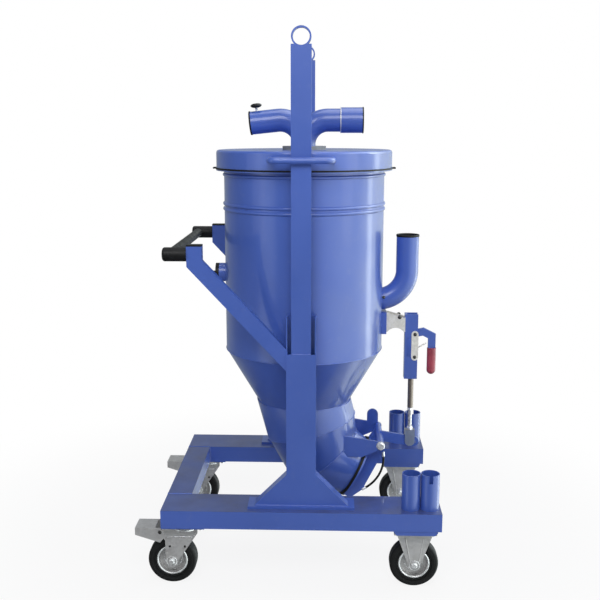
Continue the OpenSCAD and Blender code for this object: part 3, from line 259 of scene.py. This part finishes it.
def finish(name, skin, settings, fixed, bump, depth):
    """A material on the Principled shader, fed by a skin group with its own values."""
    made = bpy.data.materials.new(name)
    made.use_nodes = True
    tree = made.node_tree
    shader = tree.nodes["Principled BSDF"]
    group = tree.nodes.new("ShaderNodeGroup")
    group.node_tree = skin
    for socket, value in settings.items():
        group.inputs[socket].default_value = value
    tree.links.new(group.outputs["Colour"], shader.inputs["Base Color"])
    tree.links.new(group.outputs["Roughness"], shader.inputs["Roughness"])
    relief = tree.nodes.new("ShaderNodeBump")
    relief.inputs["Strength"].default_value = bump
    relief.inputs["Distance"].default_value = depth
    tree.links.new(group.outputs["Height"], relief.inputs["Height"])
    tree.links.new(relief.outputs["Normal"], shader.inputs["Normal"])
    for socket, value in fixed.items():
        shader.inputs[socket].default_value = value
    return made


paint_blue = (0.053, 0.115, 0.455, 1.0)
paint_gloss = {"Coat Weight": 0.55, "Coat Roughness": 0.11}
blue_coat = finish("blue_coat", coat_skin, {"Colour": paint_blue, "Gloss": 0.40}, paint_gloss, 0.10, 0.0006)


def dress(material, *names):
    for name in names:
        for held in nodes[name].material_slots:
            held.material = material


sharp_crease, round_crease, dome_crease = 35.0, 60.0, 50.0


def add_piece(name, bm, material, body, crease=sharp_crease):
    """Makes the mesh an object that rides on a body, smooth but for edges sharper than the crease."""
    bmesh.ops.remove_doubles(bm, verts=bm.verts, dist=1e-6)
    bmesh.ops.recalc_face_normals(bm, faces=bm.faces)
    mesh = bpy.data.meshes.new(name)
    bm.to_mesh(mesh)
    bm.free()
    mesh.materials.append(material)
    for face in mesh.polygons:
        face.use_smooth = True
    mesh.set_sharp_from_angle(angle=math.radians(crease))
    made = bpy.data.objects.new(name, mesh)
    scene.collection.objects.link(made)
    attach(made, body)
    return made


def turned(axis):
    """The turn that takes the Z axis to the given direction."""
    return Vector((0.0, 0.0, 1.0)).rotation_difference(Vector(axis)).to_matrix().to_4x4()


ripple = 1.12


def add_weld(bm, start, end, radius):
    """A weld bead from start to end, laid in short overlapping ripples."""
    start, end = Vector(start), Vector(end)
    steps = max(6, int((end - start).length / (radius * 1.6)))
    ring = bmesh.ops.create_circle(bm, segments=8, radius=radius, cap_ends=True)["verts"]
    loop = list({edge for vert in ring for edge in vert.link_edges})
    bmesh.ops.transform(bm, matrix=Matrix.Translation(start) @ turned(end - start), verts=ring)
    for step in range(steps):
        drawn = bmesh.ops.extrude_edge_only(bm, edges=loop)["geom"]
        ring = [item for item in drawn if isinstance(item, bmesh.types.BMVert)]
        loop = [item for item in drawn if isinstance(item, bmesh.types.BMEdge)
                and all(vert in ring for vert in item.verts)]
        bmesh.ops.translate(bm, verts=ring, vec=(end - start) / steps)
        centre = sum((vert.co for vert in ring), Vector()) / len(ring)
        swell = ripple if step % 2 == 0 else 1 / ripple
        bmesh.ops.scale(bm, verts=ring, vec=(swell, swell, swell), space=Matrix.Translation(-centre))
    bmesh.ops.contextual_create(bm, geom=loop)


deck_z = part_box("near_rail")[1][2]
deck_coat = finish("deck_coat", coat_skin, {"Colour": paint_blue, "Gloss": 0.48, "Deck": deck_z},
                   paint_gloss, 0.10, 0.0006)
dress(deck_coat, "near_rail", "far_rail", "cross_member")
dress(blue_coat, "caster_pads", "tool_sockets")
cross_low, cross_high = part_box("cross_member")
weld_r = 0.0025
frame_welds = bmesh.new()
for side in (-1, 1):
    joint_y = side * cross_high[1]
    add_weld(frame_welds, (cross_low[0], joint_y, cross_high[2]), (cross_high[0], joint_y, cross_high[2]), weld_r)
    add_weld(frame_welds, (cross_high[0], joint_y, cross_low[2]), (cross_high[0], joint_y, cross_high[2]), weld_r)
add_piece("frame_welds", frame_welds, blue_coat, "frame", round_crease)

# The posts: folded channels closed by cover plates that flare into welded feet on base plates.
# A hollow lift bar stands in each post and ends in a welded lifting eye, and the arms of the push handle
# are welded to the posts.
dress(blue_coat, "base_plates", "near_post", "far_post", "near_cover", "far_cover",
      "near_lift_bar", "far_lift_bar", "lift_eyes", "near_arm", "far_arm")
cover_low, cover_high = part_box("near_cover")
bar_low, bar_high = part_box("near_lift_bar")
weld_inset = 0.004
post_welds = bmesh.new()
for side in (-1, 1):
    front = side * abs(cover_low[1])
    add_weld(post_welds, (cover_low[0] + weld_inset, front, cover_low[2]),
             (cover_high[0] - weld_inset, front, cover_low[2]), weld_r)
    bar_front = side * abs(bar_low[1])
    add_weld(post_welds, (bar_low[0], bar_front, cover_high[2]), (bar_high[0], bar_front, cover_high[2]), weld_r)
add_piece("post_welds", post_welds, blue_coat, "frame", round_crease)

# The push handle: a moulded black tube grip across two thick legs, with plugs in the arms' ends.
# The same skin of fine moulded grain serves the rubber and the red grip further on.
dark_skin, dark_in, dark_at = new_skin("dark_skin", (0.02, 0.02, 0.022, 1.0), 0.5, Grain=600.0)
dark_clouds = remap(dark_skin, noise(dark_skin, dark_at, 18.0, 5.0), 0.3, 0.75, 0.75, 1.5)
dark_smears = remap(dark_skin, noise(dark_skin, dark_at, 40.0, 4.0), 0.3, 0.7, -0.07, 0.1)
put_out(dark_skin, shade(dark_skin, dark_in["Colour"], dark_clouds),
        sums(dark_skin, "ADD", dark_in["Gloss"], dark_smears), noise(dark_skin, dark_at, dark_in["Grain"], 1.0))
black_moulding = finish("black_moulding", dark_skin,
                        {"Colour": (0.006, 0.006, 0.007, 1.0), "Gloss": 0.46, "Grain": 700.0},
                        {"Specular IOR Level": 0.25}, 0.25, 0.0004)
black_rubber = finish("black_rubber", dark_skin,
                      {"Colour": (0.006, 0.006, 0.0065, 1.0), "Gloss": 0.60, "Grain": 420.0},
                      {"Specular IOR Level": 0.22}, 0.3, 0.0005)
red_moulding = finish("red_moulding", dark_skin,
                      {"Colour": (0.33, 0.045, 0.070, 1.0), "Gloss": 0.38, "Grain": 500.0}, {}, 0.15, 0.0004)
dress(black_moulding, "push_handle")

# The tank: rolled and welded sheet with beads, a cone below it and a mitred elbow of three gores.
# The seams are ground welds under the paint.
dress(blue_coat, "tank_shell", "tank_flange", "hopper_cone", "discharge_elbow")


def add_lathe(bm, profile, place, steps=48, closed=False):
    """Spins a profile of (radius, height) points about the Z axis and moves the result into place."""
    before = set(bm.verts)
    line = [bm.verts.new((radius, 0.0, height)) for radius, height in profile]
    pairs = list(zip(line, line[1:])) + ([(line[-1], line[0])] if closed else [])
    edges = [bm.edges.new(pair) for pair in pairs]
    bmesh.ops.spin(bm, geom=line + edges, cent=(0, 0, 0), axis=(0, 0, 1), dvec=(0, 0, 0), angle=math.tau,
                   steps=steps, use_merge=True, use_duplicate=False)
    bmesh.ops.remove_doubles(bm, verts=[v for v in bm.verts if v not in before], dist=1e-7)
    made = [v for v in bm.verts if v not in before]
    bmesh.ops.transform(bm, matrix=place, verts=made)
    return made


def add_ring(bm, centre, axis, radius, wire, steps=96, sides=8):
    """A ring of round wire about an axis through the centre."""
    turn = math.tau / sides
    round_wire = [(radius + wire * math.cos(i * turn), wire * math.sin(i * turn)) for i in range(sides)]
    return add_lathe(bm, round_wire, Matrix.Translation(centre) @ turned(axis), steps, closed=True)


upward = (0, 0, 1)
tank_axis, throat_r, seam_wire = 0.04, 0.160, 0.0018
elbow_seams = (((-0.0875, 0.1421), (0.2199, 0.0530), 0.1598), ((0.0033, 0.3076), (0.2266, 0.1189), 0.1338))
tank_welds = bmesh.new()
cone_low, cone_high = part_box("hopper_cone")
throat_z = cone_low[2]
add_ring(tank_welds, (tank_axis, 0, cone_high[2]), upward, cone_high[0] - tank_axis, seam_wire)
add_ring(tank_welds, (tank_axis, 0, throat_z), upward, throat_r, seam_wire)
for (left_x, left_drop), (right_x, right_drop), half_width in elbow_seams:
    left_z, right_z = throat_z - left_drop, throat_z - right_drop
    run = Vector((right_x - left_x, 0, right_z - left_z))
    seam = add_ring(tank_welds, (0, 0, 0), upward, half_width, seam_wire)
    bmesh.ops.scale(tank_welds, verts=seam, vec=(run.length / 2 / half_width, 1, 1))
    lean = -math.atan2(run.z, run.x)
    bmesh.ops.rotate(tank_welds, verts=seam, cent=(0, 0, 0), matrix=Matrix.Rotation(lean, 3, "Y"))
    bmesh.ops.translate(tank_welds, verts=seam, vec=((left_x + right_x) / 2, 0, (left_z + right_z) / 2))
add_piece("tank_welds", tank_welds, blue_coat, "frame", round_crease)

# The lid: a deep pressed cover on a rubber gasket with two pull tabs, and a bent bar loop on each side.
# The loops are welded to the lid's rim and pass round the lift bars.
dress(blue_coat, "lid", "lid_loops")
dress(black_rubber, "lid_gasket")

# The pipes on the lid: a zinc flange, two bends welded over one riser, and their ends for hoses.
# The left end has a black clamp screw with a domed head, and the right one a short sleeve.
foot_grey, stain_brown = (0.26, 0.30, 0.40), (0.22, 0.20, 0.18)
metal_skin, metal_in, metal_at = new_skin("metal_skin", (0.5, 0.49, 0.47, 1.0), 0.35, Foot=-9.0, Spangle=90.0)
metal_cells = metal_skin.nodes.new("ShaderNodeTexVoronoi")
metal_skin.links.new(metal_at.outputs["Object"], metal_cells.inputs["Vector"])
metal_skin.links.new(metal_in["Spangle"], metal_cells.inputs["Scale"])
metal_split = metal_skin.nodes.new("ShaderNodeSeparateColor")
metal_skin.links.new(metal_cells.outputs["Color"], metal_split.inputs["Color"])
metal_facets = remap(metal_skin, metal_split.outputs["Red"], 0.0, 1.0, 0.93, 1.07)
metal_glints = remap(metal_skin, metal_split.outputs["Green"], 0.0, 1.0, -0.07, 0.10)
metal_stain = remap(metal_skin, noise(metal_skin, metal_at, 24.0, 5.0, 0.6), 0.5, 0.8, 0.0, 0.30)
metal_foot = remap(metal_skin, height_over(metal_skin, metal_at, metal_in["Foot"]), -0.001, 0.001, 1.0, 0.0)
metal_base = blend_colours(metal_skin, metal_foot, shade(metal_skin, metal_in["Colour"], metal_facets), foot_grey)
put_out(metal_skin, blend_colours(metal_skin, metal_stain, metal_base, stain_brown),
        sums(metal_skin, "ADD", metal_in["Gloss"], metal_glints), noise(metal_skin, metal_at, 300.0, 2.0))
zinc_sheet = finish("zinc_sheet", metal_skin, {"Colour": (0.52, 0.51, 0.51, 1.0), "Gloss": 0.40, "Spangle": 110.0},
                    {"Metallic": 0.45}, 0.08, 0.0003)
pale_zinc = finish("pale_zinc", metal_skin, {"Colour": (0.78, 0.75, 0.70, 1.0), "Gloss": 0.42, "Spangle": 130.0},
                   {"Metallic": 0.40}, 0.06, 0.0003)
bright_zinc = finish("bright_zinc", metal_skin, {"Colour": (0.78, 0.78, 0.79, 1.0), "Gloss": 0.28, "Spangle": 160.0},
                     {"Metallic": 0.60}, 0.02, 0.0002)
dull_zinc = finish("dull_zinc", metal_skin, {"Colour": (0.24, 0.25, 0.25, 1.0), "Gloss": 0.55, "Spangle": 130.0},
                   {"Metallic": 0.25}, 0.06, 0.0003)
dress(dull_zinc, "outlet_flange")
dress(blue_coat, "right_outlet", "left_outlet", "right_spigot", "left_spigot")
dress(black_moulding, "clamp_screw")
sleeve_low, sleeve_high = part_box("right_spigot")
pipe_mid = (sleeve_low[2] + sleeve_high[2]) / 2
rightward = (1, 0, 0)
sleeve_start, sleeve_r, sleeve_bead = 0.162, 0.042, 0.0014
# A weld ring at the sleeve's start, in pale zinc as a painted highlight along the sleeve's edge on the blue pipe.
sleeve_weld_highlight = bmesh.new()
add_ring(sleeve_weld_highlight, (sleeve_start, 0, pipe_mid), rightward, sleeve_r - 0.0008, sleeve_bead, steps=64)
add_piece("sleeve_weld_highlight", sleeve_weld_highlight, pale_zinc, "frame", round_crease)
droop = math.radians(6)
screw_foot = Vector((-0.1151, 0.0, pipe_mid - 0.0075))
screw_axis = Vector((-math.sin(droop), 0.0, math.cos(droop)))
pipe_r, stem_h, stem_r = 0.03805, 0.010, 0.0042
head_foot = Matrix.Translation(screw_foot + screw_axis * (pipe_r + stem_h)) @ turned(screw_axis)
knob = bmesh.new()
add_lathe(knob, [(0.0, 0.0), (0.006, 0.0), (0.0125, 0.0016), (0.0172, 0.0042), (0.0190, 0.0073), (0.0182, 0.0100),
                 (0.0145, 0.0128), (0.0085, 0.0145), (0.0, 0.0150)], head_foot)
knob_piece = add_piece("clamp_knob", knob, black_moulding, "frame", dome_crease)
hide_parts("clamp_screw")
stem_pitch, stem_root, stem_rings = 0.0007, 0.88, 21
stem = bmesh.new()
threads = [(stem_r * (1.0 if i % 2 else stem_root), -0.002 + i * stem_pitch) for i in range(stem_rings)]
add_lathe(stem, [(0.0, threads[0][1])] + threads + [(0.0, threads[-1][1])],
          head_foot @ Matrix.Translation((0, 0, -stem_h)), steps=20)
add_piece("clamp_stem", stem, bright_zinc, "frame", round_crease)

# The inlet and the side port: pipe stubs welded into the tank, the inlet turned up with an open mouth.
# The port is shut by a black cap with a stud.
dress(blue_coat, "inlet_elbow", "side_port")
dress(black_moulding, "port_cap")

# The seals on the pipe mouths: black rubber for the hose ends, turned over the rims, with a black lining down the
# bores as painted shade for their dark insides.
# The inlet's lining is deep, and those of the two pipes on the lid are short.
bore_r, lining, lip = 0.03545, 0.0002, 0.0013


def add_seal_and_bore_shade(bm, centre, axis, outer_r, skirt, depth):
    """A black lining of the bore, painted shade for its dark inside, with a rounded rubber lip that folds back over
    the pipe's end by the skirt.
    """
    add_lathe(bm, [(outer_r - lining, -skirt), (outer_r + lip - lining, -skirt), (outer_r + lip, -skirt + lip / 2),
                   (outer_r + lip, lip / 3), (outer_r + lip / 3, lip), (bore_r + lip / 2, lip),
                   (bore_r, lip * 0.8), (bore_r - lining, lining), (bore_r - lining, -depth),
                   (bore_r + lining, -depth), (bore_r + lining, -lining), (outer_r - lining, -lining)],
              Matrix.Translation(centre) @ turned(axis), steps=96, closed=True)


inlet_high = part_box("inlet_elbow")[1]
inlet_mouth = (inlet_high[0] - pipe_r, 0.0, inlet_high[2])
right_mouth = (sleeve_high[0], 0.0, pipe_mid)
left_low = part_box("left_spigot")[0]
left_mouth = (left_low[0] + pipe_r * math.sin(droop), 0.0, left_low[2] + pipe_r * math.cos(droop))
leftward = (-math.cos(droop), 0.0, -math.sin(droop))
mouth_seals_and_bore_shade = bmesh.new()
add_seal_and_bore_shade(mouth_seals_and_bore_shade, inlet_mouth, upward, pipe_r, skirt=0.0055, depth=0.060)
add_seal_and_bore_shade(mouth_seals_and_bore_shade, right_mouth, rightward, sleeve_r, skirt=0.0030, depth=0.020)
add_seal_and_bore_shade(mouth_seals_and_bore_shade, left_mouth, leftward, pipe_r, skirt=0.0040, depth=0.020)
add_piece("mouth_seals_and_bore_shade", mouth_seals_and_bore_shade, black_rubber, "frame", dome_crease)

# The toggle clamp: a blue folded body on a zinc bracket, with a guided plunger rod and a hand lever.
# Zinc side plates carry the pins, whose dark heads are riveted over.
dress(blue_coat, "clamp_saddle", "clamp_body", "hand_lever")
dress(pale_zinc, "clamp_bracket", "side_plates")
dress(red_moulding, "red_grip")
rod_low, rod_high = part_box("plunger_rod")
clevis_h = 0.059
rod_steel = finish("rod_steel", metal_skin, {"Colour": (0.20, 0.165, 0.140, 1.0), "Gloss": 0.36, "Spangle": 220.0,
                                             "Foot": rod_low[2] + clevis_h}, {"Metallic": 0.7}, 0.05, 0.0002)
dress(rod_steel, "plunger_rod")
dark_pin = finish("dark_pin", metal_skin, {"Colour": (0.045, 0.043, 0.042, 1.0), "Gloss": 0.4, "Spangle": 300.0},
                  {"Metallic": 0.6}, 0.05, 0.0002)


def add_dome(bm, point, axis, radius, height):
    """A low riveted head that stands on a face."""
    made = bmesh.ops.create_uvsphere(bm, u_segments=24, v_segments=12, radius=1.0)["verts"]
    under = {vert for vert in made if vert.co.z < -1e-4}
    kept = [vert for vert in made if vert not in under]
    bmesh.ops.delete(bm, geom=list(under), context="VERTS")
    base = {edge for vert in kept for edge in vert.link_edges if edge.is_boundary}
    bmesh.ops.contextual_create(bm, geom=list(base))
    bmesh.ops.scale(bm, verts=kept, vec=(radius, radius, height))
    bmesh.ops.transform(bm, matrix=Matrix.Translation(point) @ turned(axis), verts=kept)


plate_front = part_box("side_plates")[1][1]
joint_at = {joint["name"]: Vector(joint["pos_m"]) for joint in frame["joints"] if "pos_m" in joint}
pivot_x, _, pivot_z = joint_at["hand_lever_swing"]
lower_pin_z = pivot_z - 0.081
bracket_pin = Vector((0.3704, 0.026, pivot_z + 0.0618))
# A small dark dome on the inlet pipe where it meets the tank, made with the pin heads.
inlet_dark_dome, inlet_dome_facing = (0.3135, -0.0361, pivot_z + 0.1329), (0, -0.95, 0.31)
pin_heads = bmesh.new()
for side in (-1, 1):
    outward = (0, side, 0)
    for pin_z in (pivot_z, lower_pin_z):
        add_dome(pin_heads, (pivot_x, side * plate_front, pin_z), outward, radius=0.0062, height=0.004)
    add_dome(pin_heads, (bracket_pin.x, side * bracket_pin.y, bracket_pin.z), outward, radius=0.0070, height=0.005)
add_dome(pin_heads, inlet_dark_dome, inlet_dome_facing, radius=0.0055, height=0.006)
add_piece("pin_heads", pin_heads, dark_pin, "frame")
body_low, body_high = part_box("clamp_body")
web_t, wall_t, guide_h, cheek_h, lap = 0.008, 0.004, 0.082, 0.084, 0.001


def add_plate(bm, low, high, edge):
    """A flat plate between two corners, with its edges broken."""
    size = Vector(high) - Vector(low)
    made = bmesh.ops.create_cube(bm, size=1.0)["verts"]
    bmesh.ops.scale(bm, verts=made, vec=size)
    bmesh.ops.translate(bm, verts=made, vec=Vector(low) + size / 2)
    bmesh.ops.bevel(bm, geom=list({rim for vert in made for rim in vert.link_edges}), offset=edge, affect="EDGES",
                    segments=2, profile=0.5, material=-1)


cheeks = bmesh.new()
for side in (-1, 1):
    inner, outer = sorted((side * body_high[1], side * (body_high[1] - wall_t)))
    add_plate(cheeks, (body_low[0] + web_t - lap, inner, body_low[2] + guide_h - lap),
              (body_high[0], outer, body_high[2] - cheek_h + lap), edge=0.0006)
add_piece("clamp_cheeks", cheeks, blue_coat, "frame")
catch_start, catch_end = (0.430, 0.0, pivot_z - 0.0560), (0.4665, 0.0, pivot_z - 0.0345)
catch = bmesh.new()
add_weld(catch, catch_start, catch_end, radius=0.0022)
add_piece("catch_wire", catch, pale_zinc, "frame", round_crease)

# The discharge flap: a disc with a rubber seal, carried by two ribs on a hinge tube between bracket plates.
# The hinge pin is a bolt with hexagon heads outside the plates.
dress(blue_coat, "flap_brackets", "flap_frame", "flap_disc")
dress(black_rubber, "flap_seal")
dress(bright_zinc, "hinge_pin")


def add_hex(bm, point, axis, flats, height, washer=0.0):
    """A hexagon head with chamfered corners, on a washer where a radius is given."""
    place = Matrix.Translation(point) @ turned(axis)
    lift = 0.002 if washer else 0.0
    if washer:
        disc = bmesh.ops.create_cone(bm, cap_ends=True, segments=32, radius1=washer, radius2=washer,
                                     depth=lift)["verts"]
        bmesh.ops.transform(bm, matrix=place @ Matrix.Translation((0, 0, lift / 2)), verts=disc)
    corner_r = flats / math.sqrt(3)
    head = bmesh.ops.create_cone(bm, cap_ends=True, segments=6, radius1=corner_r, radius2=corner_r,
                                 depth=height)["verts"]
    top = [edge for edge in {edge for vert in head for edge in vert.link_edges}
           if all(vert.co.z > 0 for vert in edge.verts)]
    chamfer = bmesh.ops.bevel(bm, geom=top, offset=height * 0.16, offset_type="OFFSET", segments=1, profile=0.5,
                              affect="EDGES", material=-1)
    whole = {vert for vert in head if vert.is_valid} | set(chamfer["verts"])
    bmesh.ops.transform(bm, matrix=place @ Matrix.Translation((0, 0, lift + height / 2)), verts=list(whole))


pin_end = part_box("hinge_pin")[1][1]
hinge_x, _, hinge_z = joint_at["flap_swing"]
hinge_bolts = bmesh.new()
for side in (-1, 1):
    add_hex(hinge_bolts, (hinge_x, side * pin_end, hinge_z), (0, side, 0), flats=0.024, height=0.010, washer=0.015)
add_piece("hinge_bolts", hinge_bolts, bright_zinc, "frame")

# The end of the plunger rod: a bright threaded stud between the rod and its clevis, screwed to length.
# A lock nut holds it at each end.
rod_x = (rod_low[0] + rod_high[0]) / 2
bridge_top, stud_top = rod_low[2] + clevis_h, rod_high[2] - 0.165
thread_r, thread_depth, pitch = 0.0068, 0.0011, 0.00175
thread = bmesh.new()
turns = int((stud_top - bridge_top) / pitch)
ridges = [(thread_r - (thread_depth if i % 2 else 0.0), bridge_top + i * pitch / 2) for i in range(2 * turns)]
add_lathe(thread, [(0.0, ridges[0][1])] + ridges + [(0.0, ridges[-1][1])], Matrix.Translation((rod_x, 0, 0)),
          steps=20)
add_piece("rod_thread", thread, bright_zinc, "plunger", round_crease)
nut_h = 0.010
lock_nuts = bmesh.new()
for nut_z in (bridge_top, stud_top - nut_h):
    add_hex(lock_nuts, (rod_x, 0, nut_z), upward, flats=0.019, height=nut_h)
add_piece("lock_nuts", lock_nuts, bright_zinc, "plunger")

# The earthing cable: a short black lead that bows out over the near rib of the flap, with a crimped shoe
# at each end. It is as long as the photograph shows it, and both its ends are on the flap.
dress(black_rubber, "earth_cable")
mouth_lean, mouth_x, rib_y = math.radians(27.1), 0.215, -0.060
mouth_z = throat_z - 0.249
bow_r, bow_half, bow_x, bow_z = 0.126167, math.radians(38.19), -0.038867, 0.032
cable_r = 0.004


def on_bow(angle):
    """A point on the bow, by its distances out of the flap's mouth and up along the flap."""
    out, up = bow_x + bow_r * math.cos(angle), bow_z + bow_r * math.sin(angle)
    return Vector((mouth_x + out * math.cos(mouth_lean) + up * math.sin(mouth_lean), rib_y,
                   mouth_z - out * math.sin(mouth_lean) + up * math.cos(mouth_lean)))


bow_steps = 28
bow = [on_bow(bow_half * (1 - 2 * i / bow_steps)) for i in range(bow_steps + 1)]
cable_curve = bpy.data.curves.new("earth_cable_lead", "CURVE")
cable_curve.dimensions = "3D"
cable_curve.bevel_depth = cable_r
cable_curve.bevel_resolution = 4
cable_curve.use_fill_caps = True
route = cable_curve.splines.new("POLY")
route.points.add(bow_steps)
for point, place in zip(route.points, bow):
    point.co = (*place, 1.0)
cable_curve.materials.append(black_rubber)
cable = bpy.data.objects.new("earth_cable_lead", cable_curve)
scene.collection.objects.link(cable)
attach(cable, "flap")
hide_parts("earth_cable")
shoe_side = [(0.0, -0.001), (0.0056, -0.001), (0.0056, 0.011), (0.0048, 0.013), (0.0048, 0.016), (0.0, 0.016)]
shoes = bmesh.new()
for start, inward in ((bow[0], bow[3] - bow[0]), (bow[-1], bow[-4] - bow[-1])):
    add_lathe(shoes, shoe_side, Matrix.Translation(start) @ turned(inward), steps=24)
shoe_piece = add_piece("cable_shoes", shoes, bright_zinc, "flap")

# The casters: pressed zinc forks, rims with solid rubber tyres, and foot pedals on the swivel pair.
# Each axle is a bolt with a hexagon head and a nut outside the fork.
dress(zinc_sheet, "swivel_plates", "near_swivel_fork", "far_swivel_fork", "near_pedal", "far_pedal", "fixed_forks")
fork_half, panel_half, pin_half = 0.032, 0.034, 0.036
plate_t, bolt_x, bolt_y = 0.005, 0.056, 0.042
swivel_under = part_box("swivel_plates")[1][2] - plate_t
fixed_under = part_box("fixed_forks")[1][2] - plate_t
bead_line = ((-0.058, 0.1645), (-0.033, 0.1674), (0.023, 0.1669), (0.034, 0.1720))
rib_lines = (((-0.030, 0.1740), (-0.0134, 0.0900)), ((0.028, 0.1740), (0.0150, 0.0950)))
bead_r, rib_r = 0.0017, 0.0015
rivet_xs, rivet_z = (-0.0487, 0.0008), 0.1332
collar_r, collar_wire = 0.0165, 0.0012
rim_rings = ((0.0192, 0.0482, 0.0034, 72), (0.0035, 0.0300, 0.0016, 60))
tyre_rings = ((0.0195, 0.0570, 0.0012, 72), (0.0222, 0.0665, 0.0015, 72))
crown_edge_r, crown_edge_wire, crown_edge_drop = 0.0408, 0.0042, 0.0045
plate_bolts = bmesh.new()
for side_name in ("near", "far"):
    swivel = side_name + "_swivel"
    swivel_at = joint_at[swivel + "_turn"]
    fixed_at = joint_at[side_name + "_right_wheel_roll"]
    pedal_at = joint_at[side_name + "_brake_press"]
    for centre, under in ((swivel_at, swivel_under), (fixed_at, fixed_under)):
        for dx in (-bolt_x, bolt_x):
            for dy in (-bolt_y, bolt_y):
                add_hex(plate_bolts, (centre.x + dx, centre.y + dy, under), (0, 0, -1),
                        flats=0.013, height=0.004, washer=0.0095)
    for label, carrier, half in (("left", swivel, fork_half), ("right", "frame", panel_half)):
        corner = f"{side_name}_{label}"
        dress(zinc_sheet, corner + "_rim")
        dress(black_rubber, corner + "_tyre")
        hub = joint_at[corner + "_wheel_roll"]
        axle, trim, grooves = bmesh.new(), bmesh.new(), bmesh.new()
        for out in (-1, 1):
            outward = (0, out, 0)
            fork_face = hub + Vector((0, out * half, 0))
            add_hex(axle, fork_face, outward, flats=0.017, height=0.007, washer=0.0115)
            add_ring(axle, fork_face, outward, collar_r, collar_wire, steps=48)
            for rings, held in ((rim_rings, trim), (tyre_rings, grooves)):
                for sink, radius, wire, steps in rings:
                    add_ring(held, hub + Vector((0, out * sink, 0)), outward, radius, wire, steps)
        add_piece(corner + "_axle", axle, bright_zinc, carrier)
        add_piece(corner + "_rim_trim", trim, bright_zinc, corner + "_wheel", round_crease)
        add_piece(corner + "_tyre_lines", grooves, black_rubber, corner + "_wheel", round_crease)
    # A bright zinc ring round the fork's rounded crown edge, as a painted highlight on that edge.
    crown = bmesh.new()
    crown_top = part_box(swivel + "_fork")[1][2]
    add_ring(crown, (swivel_at.x, swivel_at.y, crown_top - crown_edge_drop), upward, crown_edge_r, crown_edge_wire, steps=72)
    add_piece(side_name + "_crown_edge_highlight", crown, bright_zinc, swivel, round_crease)
    bead_highlights, ribs, rivets, pins = bmesh.new(), bmesh.new(), bmesh.new(), bmesh.new()
    for out in (-1, 1):
        outward = (0, out, 0)
        swivel_face, fixed_face = swivel_at.y + out * fork_half, fixed_at.y + out * panel_half
        for (x0, z0), (x1, z1) in zip(bead_line, bead_line[1:]):
            add_weld(bead_highlights, (swivel_at.x + x0, swivel_face, z0), (swivel_at.x + x1, swivel_face, z1), bead_r)
        for (x0, z0), (x1, z1) in rib_lines:
            add_weld(ribs, (fixed_at.x + x0, fixed_face, z0), (fixed_at.x + x1, fixed_face, z1), rib_r)
        for dx in rivet_xs:
            add_dome(rivets, (swivel_at.x + dx, swivel_face, rivet_z), outward, radius=0.0042, height=0.0018)
        add_dome(pins, pedal_at + Vector((0, out * pin_half, 0)), outward, radius=0.0065, height=0.003)
    # The pressed ridges are drawn in bright zinc, lighter than the fork's own zinc, as a painted highlight along them.
    add_piece(side_name + "_fork_bead_highlights", bead_highlights, bright_zinc, swivel, round_crease)
    add_piece(side_name + "_fork_ribs", ribs, zinc_sheet, "frame", round_crease)
    add_piece(side_name + "_fork_rivets", rivets, dark_pin, swivel)
    add_piece(side_name + "_pedal_pins", pins, dark_pin, swivel)
add_piece("plate_bolts", plate_bolts, bright_zinc, "frame")
